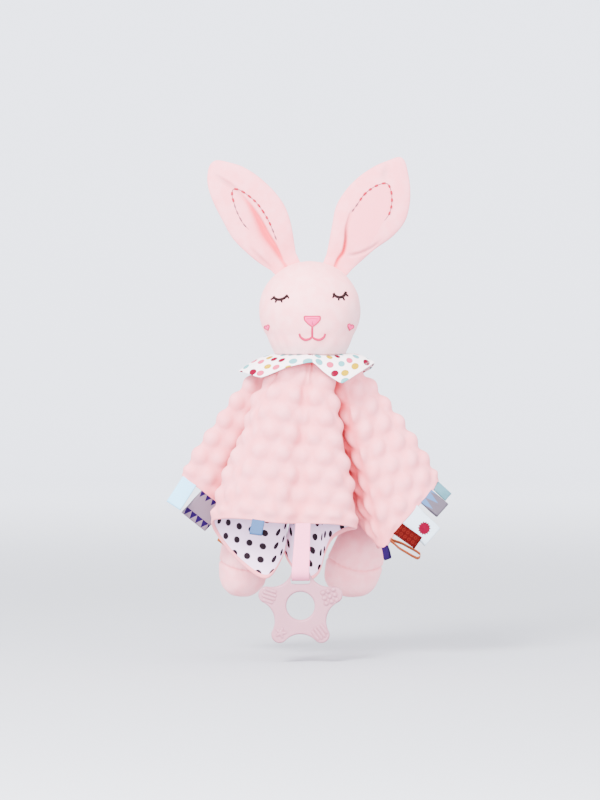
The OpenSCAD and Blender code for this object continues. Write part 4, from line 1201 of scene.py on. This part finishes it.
def make_tags():
    """The ten ribbon loops sewn into the hem."""
    out = {}
    for i, (name, tag) in enumerate(TAGS.items()):
        o, wide, thick, down = tag_frame(tag)
        turn, bow, reach, across = TAG_SET.get(name, (0, 1.0, 0, 1.0))
        c, s = np.cos(np.radians(turn)), np.sin(np.radians(turn))
        wide, thick = wide * c + thick * s, thick * c - wide * s
        out[name] = ribbon(name + "_ribbon", o - down * 1.3, wide, thick, down,
                           tag[2] + reach + 1.3, tag[3] / 2, tag[1] * across, 0.5,
                           TAG_MATS[name], "blanket", seed=i, root=0.45, bow=bow)
    return out


strap_mat = ribbon_material("pink_grosgrain", (0.88, 0.26, 0.42), shine=0.6)


def make_strap():
    """Strap ribbon: down from the hem, round the star's bar through its slot and up."""
    bar = (37 - SLOT_LOW - SLOT_TALL) / 2
    r = np.hypot(bar, STAR_HALF) + 0.8
    across, out, down = np.diag([1.0, 1.0, -1.0])
    return ribbon("teether_strap_ribbon", STRAP_TOP, across, out, down, 39.0, r, 14.8, 0.8,
                  strap_mat, "strap", root=0.55, seed=3, narrow=0.85, aside=2.2)


# ---------------------------------------------------------------- star
def silicone():
    """Soft satin silicone, slightly cloudy, with light handling marks."""
    m, t, p = base("silicone", 0.42, coat=0.12)
    co = object_coords(t)
    n = t.nodes.new("ShaderNodeTexNoise")
    n.inputs["Scale"].default_value = 60
    n.inputs["Detail"].default_value = 4
    t.links.new(co, n.inputs["Vector"])
    f = t.nodes.new("ShaderNodeTexNoise")
    f.inputs["Scale"].default_value = 2600
    t.links.new(co, f.inputs["Vector"])
    c = mix_colour(t, n.outputs["Fac"], (0.42, 0.185, 0.235), (0.38, 0.16, 0.21))
    # Painted shade: darker silicone in the rings sunk round the relief.
    c = mix_colour(t, attr(t, "painted_shade").outputs["Fac"], c, (0.26, 0.075, 0.115))
    t.links.new(c, p.inputs["Base Color"])
    t.links.new(remap(t, n.outputs["Fac"], 0.3, 0.7, 0.36, 0.5), p.inputs["Roughness"])
    bump(t, p, f.outputs["Fac"], 0.12, 0.0002)
    p.inputs["Subsurface Weight"].default_value = 0.12
    p.inputs["Subsurface Radius"].default_value = (0.006, 0.003, 0.003)
    return m


def star_edge(a):
    """Distance from the middle of the star to its outline at angle a: five round tips of
    radius 7 at 30 mm, joined by valleys that touch them."""
    tip_r, tip_at, root = 7.0, 30.0, 23.8
    va = (tip_at ** 2 - (root - tip_r) ** 2) / (2 * (tip_at * np.cos(np.radians(36)) - (root - tip_r)))
    vr = va - root
    th = np.abs((np.degrees(a) - 90 + 36) % 72 - 36)
    t = np.radians(th)
    tip = tip_at * np.cos(t) + np.sqrt(np.clip(tip_r ** 2 - (tip_at * np.sin(t)) ** 2, 0, None))
    v = np.radians(36) - t
    val = va * np.cos(v) - np.sqrt(np.clip(vr ** 2 - (va * np.sin(v)) ** 2, 0, None))
    valley = va * np.array([np.cos(np.radians(36)), np.sin(np.radians(36))])
    cross = np.array([tip_at, 0]) + (valley - [tip_at, 0]) * tip_r / (tip_r + vr)
    lim = np.degrees(np.arctan2(cross[1], cross[0]))
    return np.where(th <= lim, tip, val)


def make_star():
    """Moulded star: for angle a and share k across its face, the distance from the ring hole
    to star_edge; thickness falls off in quarter rounds at both edges, with raised dots on
    one arm and ridges on three others. The slot for the strap is cut through it."""
    a = np.linspace(0, 2 * np.pi, 640, endpoint=False)[None]
    hole, half, rnd = HOLE_R, STAR_HALF, 1.7
    R = star_edge(a)
    e = np.linspace(0, np.pi / 2, 7)
    inner = rnd * (1 - np.cos(e))
    rin, rout = hole + rnd, R - rnd
    r = np.concatenate([(hole + i) + 0 * a for i in inner]
                       + [rin + (rout - rin) * k for k in np.linspace(0, 1, 60)[1:-1]]
                       + [R - i for i in inner[::-1]])
    hgt = np.concatenate([half - rnd + rnd * np.sin(x) + 0 * a for x in e] + [half + 0 * a] * 58
                         + [half - rnd + rnd * np.sin(x) + 0 * a for x in e[::-1]])
    X, Z = r * np.cos(a), r * np.sin(a)
    relief, sunk = np.zeros_like(X), np.zeros_like(X)
    for turn, kind in ((72, "dots"), (-72, "ridges"), (144, "ridges"), (-144, "flower")):
        c, s = np.cos(np.radians(turn)), np.sin(np.radians(turn))
        x, z = X * c - Z * s, X * s + Z * c
        if kind == "dots":
            for i in (-1, 0, 1):
                for j in (-1, 0, 1):
                    d = np.hypot(x - i * 4.6, z - (26 + j * 4.6))
                    relief = np.maximum(relief, 0.9 * np.sqrt(np.clip(1 - (d / 1.75) ** 2, 0, 1)))
                    sunk = np.maximum(sunk, 0.5 * np.exp(-((d - 2.1) / 0.5) ** 2))
        elif kind == "ridges":
            for i in (-1.5, -0.5, 0.5, 1.5):
                d = np.hypot(x - i * 3.1, z - np.clip(z, 22.5 + abs(i), 33 - 1.4 * abs(i)))
                relief = np.maximum(relief, 0.7 * np.sqrt(np.clip(1 - (d / 1.15) ** 2, 0, 1)))
                sunk = np.maximum(sunk, 0.35 * np.exp(-((d - 1.5) / 0.45) ** 2))
        else:
            d, t = np.hypot(x, z - 28), np.arctan2(z - 28, x)
            petal = 4.6 * (0.72 + 0.28 * np.cos(5 * t))
            relief = np.maximum(relief, 0.6 * np.sqrt(np.clip(1 - (d / petal) ** 4, 0, 1)))
            sunk = np.maximum(sunk, 0.4 * np.exp(-((d - petal - 0.4) / 0.5) ** 2))
    front = np.stack([X, -(hgt + relief - 0.15 * sunk), Z], -1)
    back = np.stack([X, hgt + 0 * relief, Z], -1)
    P = np.concatenate([front, back[::-1]]) + STAR_PIVOT - [0, 0, BAR_MID]
    # The rings sunk round the relief are also darkened in the colour as painted shade.
    ob = grid("star", P, star_mat, wrap_u=True, wrap_v=True,
              attrs={"painted_shade": np.concatenate([np.clip(sunk, 0, 1), 0 * X])})
    b = np.linspace(0, 2 * np.pi, 64, endpoint=False)
    ex = np.sign(np.cos(b)) * np.abs(np.cos(b)) ** 0.4 * SLOT_WIDE / 2
    ez = np.sign(np.sin(b)) * np.abs(np.sin(b)) ** 0.4 * SLOT_TALL / 2 + SLOT_LOW + SLOT_TALL / 2
    C = np.stack([np.stack([ex, 0 * ex + y, ez], -1) for y in (-9.0, 9.0)]) + STAR_PIVOT - [0, 0, BAR_MID]
    cutter = grid("slot_tool", C, star_mat, wrap_v=True, cap_first=True, cap_last=True)
    mod = ob.modifiers.new("slot", "BOOLEAN")
    mod.operation, mod.object, mod.solver = "DIFFERENCE", cutter, "EXACT"
    bpy.context.view_layer.update()
    me = bpy.data.meshes.new_from_object(ob.evaluated_get(bpy.context.evaluated_depsgraph_get()))
    ob.modifiers.clear()
    ob.data = me
    bpy.data.objects.remove(cutter)
    me.polygons.foreach_set("use_smooth", np.ones(len(me.polygons), bool))
    me.set_sharp_from_angle(angle=np.radians(42))
    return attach(ob, "teether")


star_mat = silicone()


# ---------------------------------------------------------------- legs
def make_leg(side):
    """Stuffed leg and foot: rings of radius growing from the seam at the top to the foot,
    wider than deep, with a sunk seam across the ankle that dips to one side. The right one
    leans out at its top."""
    sgn = -1 if side == "left" else 1
    top = np.array([-12.2 + sgn * 47.0, 70.0, -149.2 if sgn < 0 else -149.6])
    L, waist = 64.0, 10.0 if sgn < 0 else 14.0
    d = np.concatenate([-waist * np.cos(np.linspace(0.05, np.pi / 2, 9))[:-1], np.linspace(0, L * 0.9, 70),
                        L * (0.9 + 0.1 * np.sin(np.pi / 2 * np.linspace(0, 0.998, 40)[1:]))])[:, None]
    b = np.linspace(0, 2 * np.pi, 130, endpoint=False)[None]
    u = np.clip(d / L, 0, 1)
    full = 20.8
    r = np.where(u < 0.6, waist + (full - waist) * np.sin(np.pi / 2 * u / 0.6) ** 0.85,
                 full * (1 - np.clip((u - 0.6) / 0.4, 0, 1) ** 2.6) ** (1 / 2.2))
    r = np.where(d < 0, np.sqrt(np.clip(waist ** 2 - d ** 2, 0, None)), r)
    wide = 0.99 if sgn < 0 else 1.18
    x = r * np.cos(b) * wide
    y = r * np.sin(b) * 0.97
    z = -d + 0 * b
    x = x + (0 if sgn < 0 else 1) * (9.0 * ramp(0.75, 0.0, u) + 1.5)
    tilt = (0.12 if sgn < 0 else 0.26) * (x - (0 if sgn < 0 else 4))
    seam_z = -(L - 24) - tilt + 0.012 * x ** 2
    near = z - seam_z
    sunk = np.exp(-(near / 0.7) ** 2) * ramp(0.1, 0.3, u)
    nrm = unit(np.stack([np.cos(b) + 0 * z, np.sin(b) + 0 * z, -0.2 + 0 * x], -1))
    pucker = 0.3 * np.sin(b * 28) * np.exp(-(near / 3.2) ** 2) * ramp(0.1, 0.3, u)
    belly = 0.5 * np.exp(-((np.abs(near) - 4) / 3.0) ** 2)
    P = np.stack([x, y, z], -1)
    lift = 0.8 * waves(P + [sgn * 40, 0, 0], 30, 31 + sgn) * ramp(0, 0.2, u) - 1.5 * sunk - pucker + belly
    P = P + nrm * (lift * np.clip(r / 6, 0, 1))[..., None] + top
    # Painted shade: deep rose in the sunk ankle seam and its puckers, and towards the top of the leg where
    # it goes in under the blanket.
    painted_shade = np.clip(0.35 * sunk + 0.3 * ramp(0.5, 0.0, u) + 0.1 * pucker, 0, 1)
    return grid(side + "_leg", P, leg_mat, wrap_v=True, cap_first=True, cap_last=True,
                attrs={"painted_shade": painted_shade}, body=side + "_leg")


def make_neck():
    """The gathered neck under the collar: a short ring with fine pleats."""
    b = np.linspace(0, 2 * np.pi, 200, endpoint=False)[None]
    z = np.linspace(-7.2, 0.4, 14)[:, None]
    r = 16.7 + 0.25 * np.sin(b * 34) + 0 * z
    P = np.stack([r * np.cos(b), r * np.sin(b), z + 0 * b], -1)
    # Painted shade: the whole neck half deep rose, for the shade under the collar.
    return grid("neck_gather", P, leg_mat, wrap_v=True, cap_first=True, cap_last=True,
                attrs={"painted_shade": 0.5 + 0 * r}, body="neck")


# ---------------------------------------------------------------- build
head = make_head()
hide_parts("head_cover", "head_filling")
left_eye, right_eye, nose, mouth, hearts = make_face()
for ob, node, slot in ((left_eye, "left_eye", "dark_thread"), (right_eye, "right_eye", "dark_thread"),
                       (nose, "nose", "rose_thread"), (mouth, "mouth", "rose_thread"),
                       (hearts[0], "left_cheek_heart", "rose_thread"),
                       (hearts[1], "right_cheek_heart", "rose_thread")):
    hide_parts(node)
for side in ("left", "right"):
    ear, st = make_ear(side)
    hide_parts(side + "_ear_front", side + "_ear_back", side + "_ear_filling")
    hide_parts(side + "_ear_stitches")
    leg = make_leg(side)
    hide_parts(side + "_leg_cover", side + "_foot_cover", side + "_leg_filling")
neck = make_neck()
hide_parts("neck_plug")
collar = make_collar()
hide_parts("collar")
cloth = make_blanket()
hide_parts("blanket_plush")
lining = make_lining()
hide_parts("blanket_lining")
tags = make_tags()
for name, ob in tags.items():
    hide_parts(name + "_loop")
strap = make_strap()
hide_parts("teether_strap")
star = make_star()
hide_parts("teether_star")


# ---------------------------------------------------------------- stage, light, camera
def stage_material():
    """Matt studio paper, with painted shade making it greyer on the floor near the toy and paler towards
    the wall.
    """
    m, t, p = base("studio_paper", 0.95)
    n = t.nodes.new("ShaderNodeTexNoise")
    n.inputs["Scale"].default_value = 3
    co = object_coords(t)
    t.links.new(co, n.inputs["Vector"])
    at = t.nodes.new("ShaderNodeSeparateXYZ")
    t.links.new(co, at.inputs[0])
    away = math_node(t, "SQRT", math_node(t, "ADD", math_node(t, "MULTIPLY", at.outputs[0], at.outputs[0]),
                                          math_node(t, "MULTIPLY", at.outputs[1], at.outputs[1])))
    wall = mix_colour(t, n.outputs["Fac"], (0.83, 0.85, 0.925), (0.84, 0.86, 0.935))
    # Painted shade: darker floor near the toy, paler further out.
    t.links.new(mix_colour(t, remap(t, away, 0.6, 3.4), (0.40, 0.41, 0.45), wall), p.inputs["Base Color"])
    return m


def make_floor():
    """Round studio sweep: a flat floor 4 m in radius, turning up on a radius of 1.2 m into
    a low wall all round, so that it is behind the toy from every side."""
    flat, bend, low = 4000.0, 1200.0, -262.0
    turn = np.linspace(0, np.pi / 2, 24)
    r = np.concatenate([[5.0, 1000.0, 2500.0], flat + bend * np.sin(turn), [flat + bend]])[:, None]
    z = np.concatenate([[low] * 3, low + bend * (1 - np.cos(turn)), [2400.0]])[:, None]
    a = np.linspace(0, 2 * np.pi, 96, endpoint=False)[None]
    P = np.stack([r * np.cos(a), r * np.sin(a), z + 0 * a], -1)
    return grid("studio_sweep", P, stage_material(), wrap_v=True, cap_first=True,
                ref=(0, 0, 1000), inward=True)


floor = make_floor()


def studio_light(name, at, size, power):
    """Soft round lamp of the given width, which lights every way and isn't seen itself."""
    lamp = bpy.data.lights.new(name, "POINT")
    lamp.shadow_soft_size = size / 2
    lamp.energy = power
    o = bpy.data.objects.new(name, lamp)
    bpy.context.scene.collection.objects.link(o)
    o.location = at
    o.visible_camera = False
    return o


studio_light("key", (-0.9, -1.6, 1.3), 0.9, 740)
studio_light("fill", (1.4, -1.5, 0.5), 1.3, 100)
studio_light("front", (0.0, -2.4, 0.4), 1.2, 200)
world = bpy.data.worlds.new("studio")
bpy.context.scene.world = world
world.use_nodes = True
world.node_tree.nodes["Background"].inputs[0].default_value = (1.0, 1.0, 1.0, 1)
world.node_tree.nodes["Background"].inputs[1].default_value = 3.3

cam = bpy.data.cameras.new("camera")
cam.sensor_fit = "VERTICAL"
cam.sensor_height = 36
cam.lens = 36 * 3.0 / 0.68
cam_ob = bpy.data.objects.new("camera", cam)
bpy.context.scene.collection.objects.link(cam_ob)
aim = Vector((-0.0094, 0.0, -0.0408))
cam_ob.location = aim + Vector((0, -3.0, 0.05))
cam_ob.rotation_euler = (aim - cam_ob.location).to_track_quat("-Z", "Y").to_euler()
bpy.context.scene.camera = cam_ob
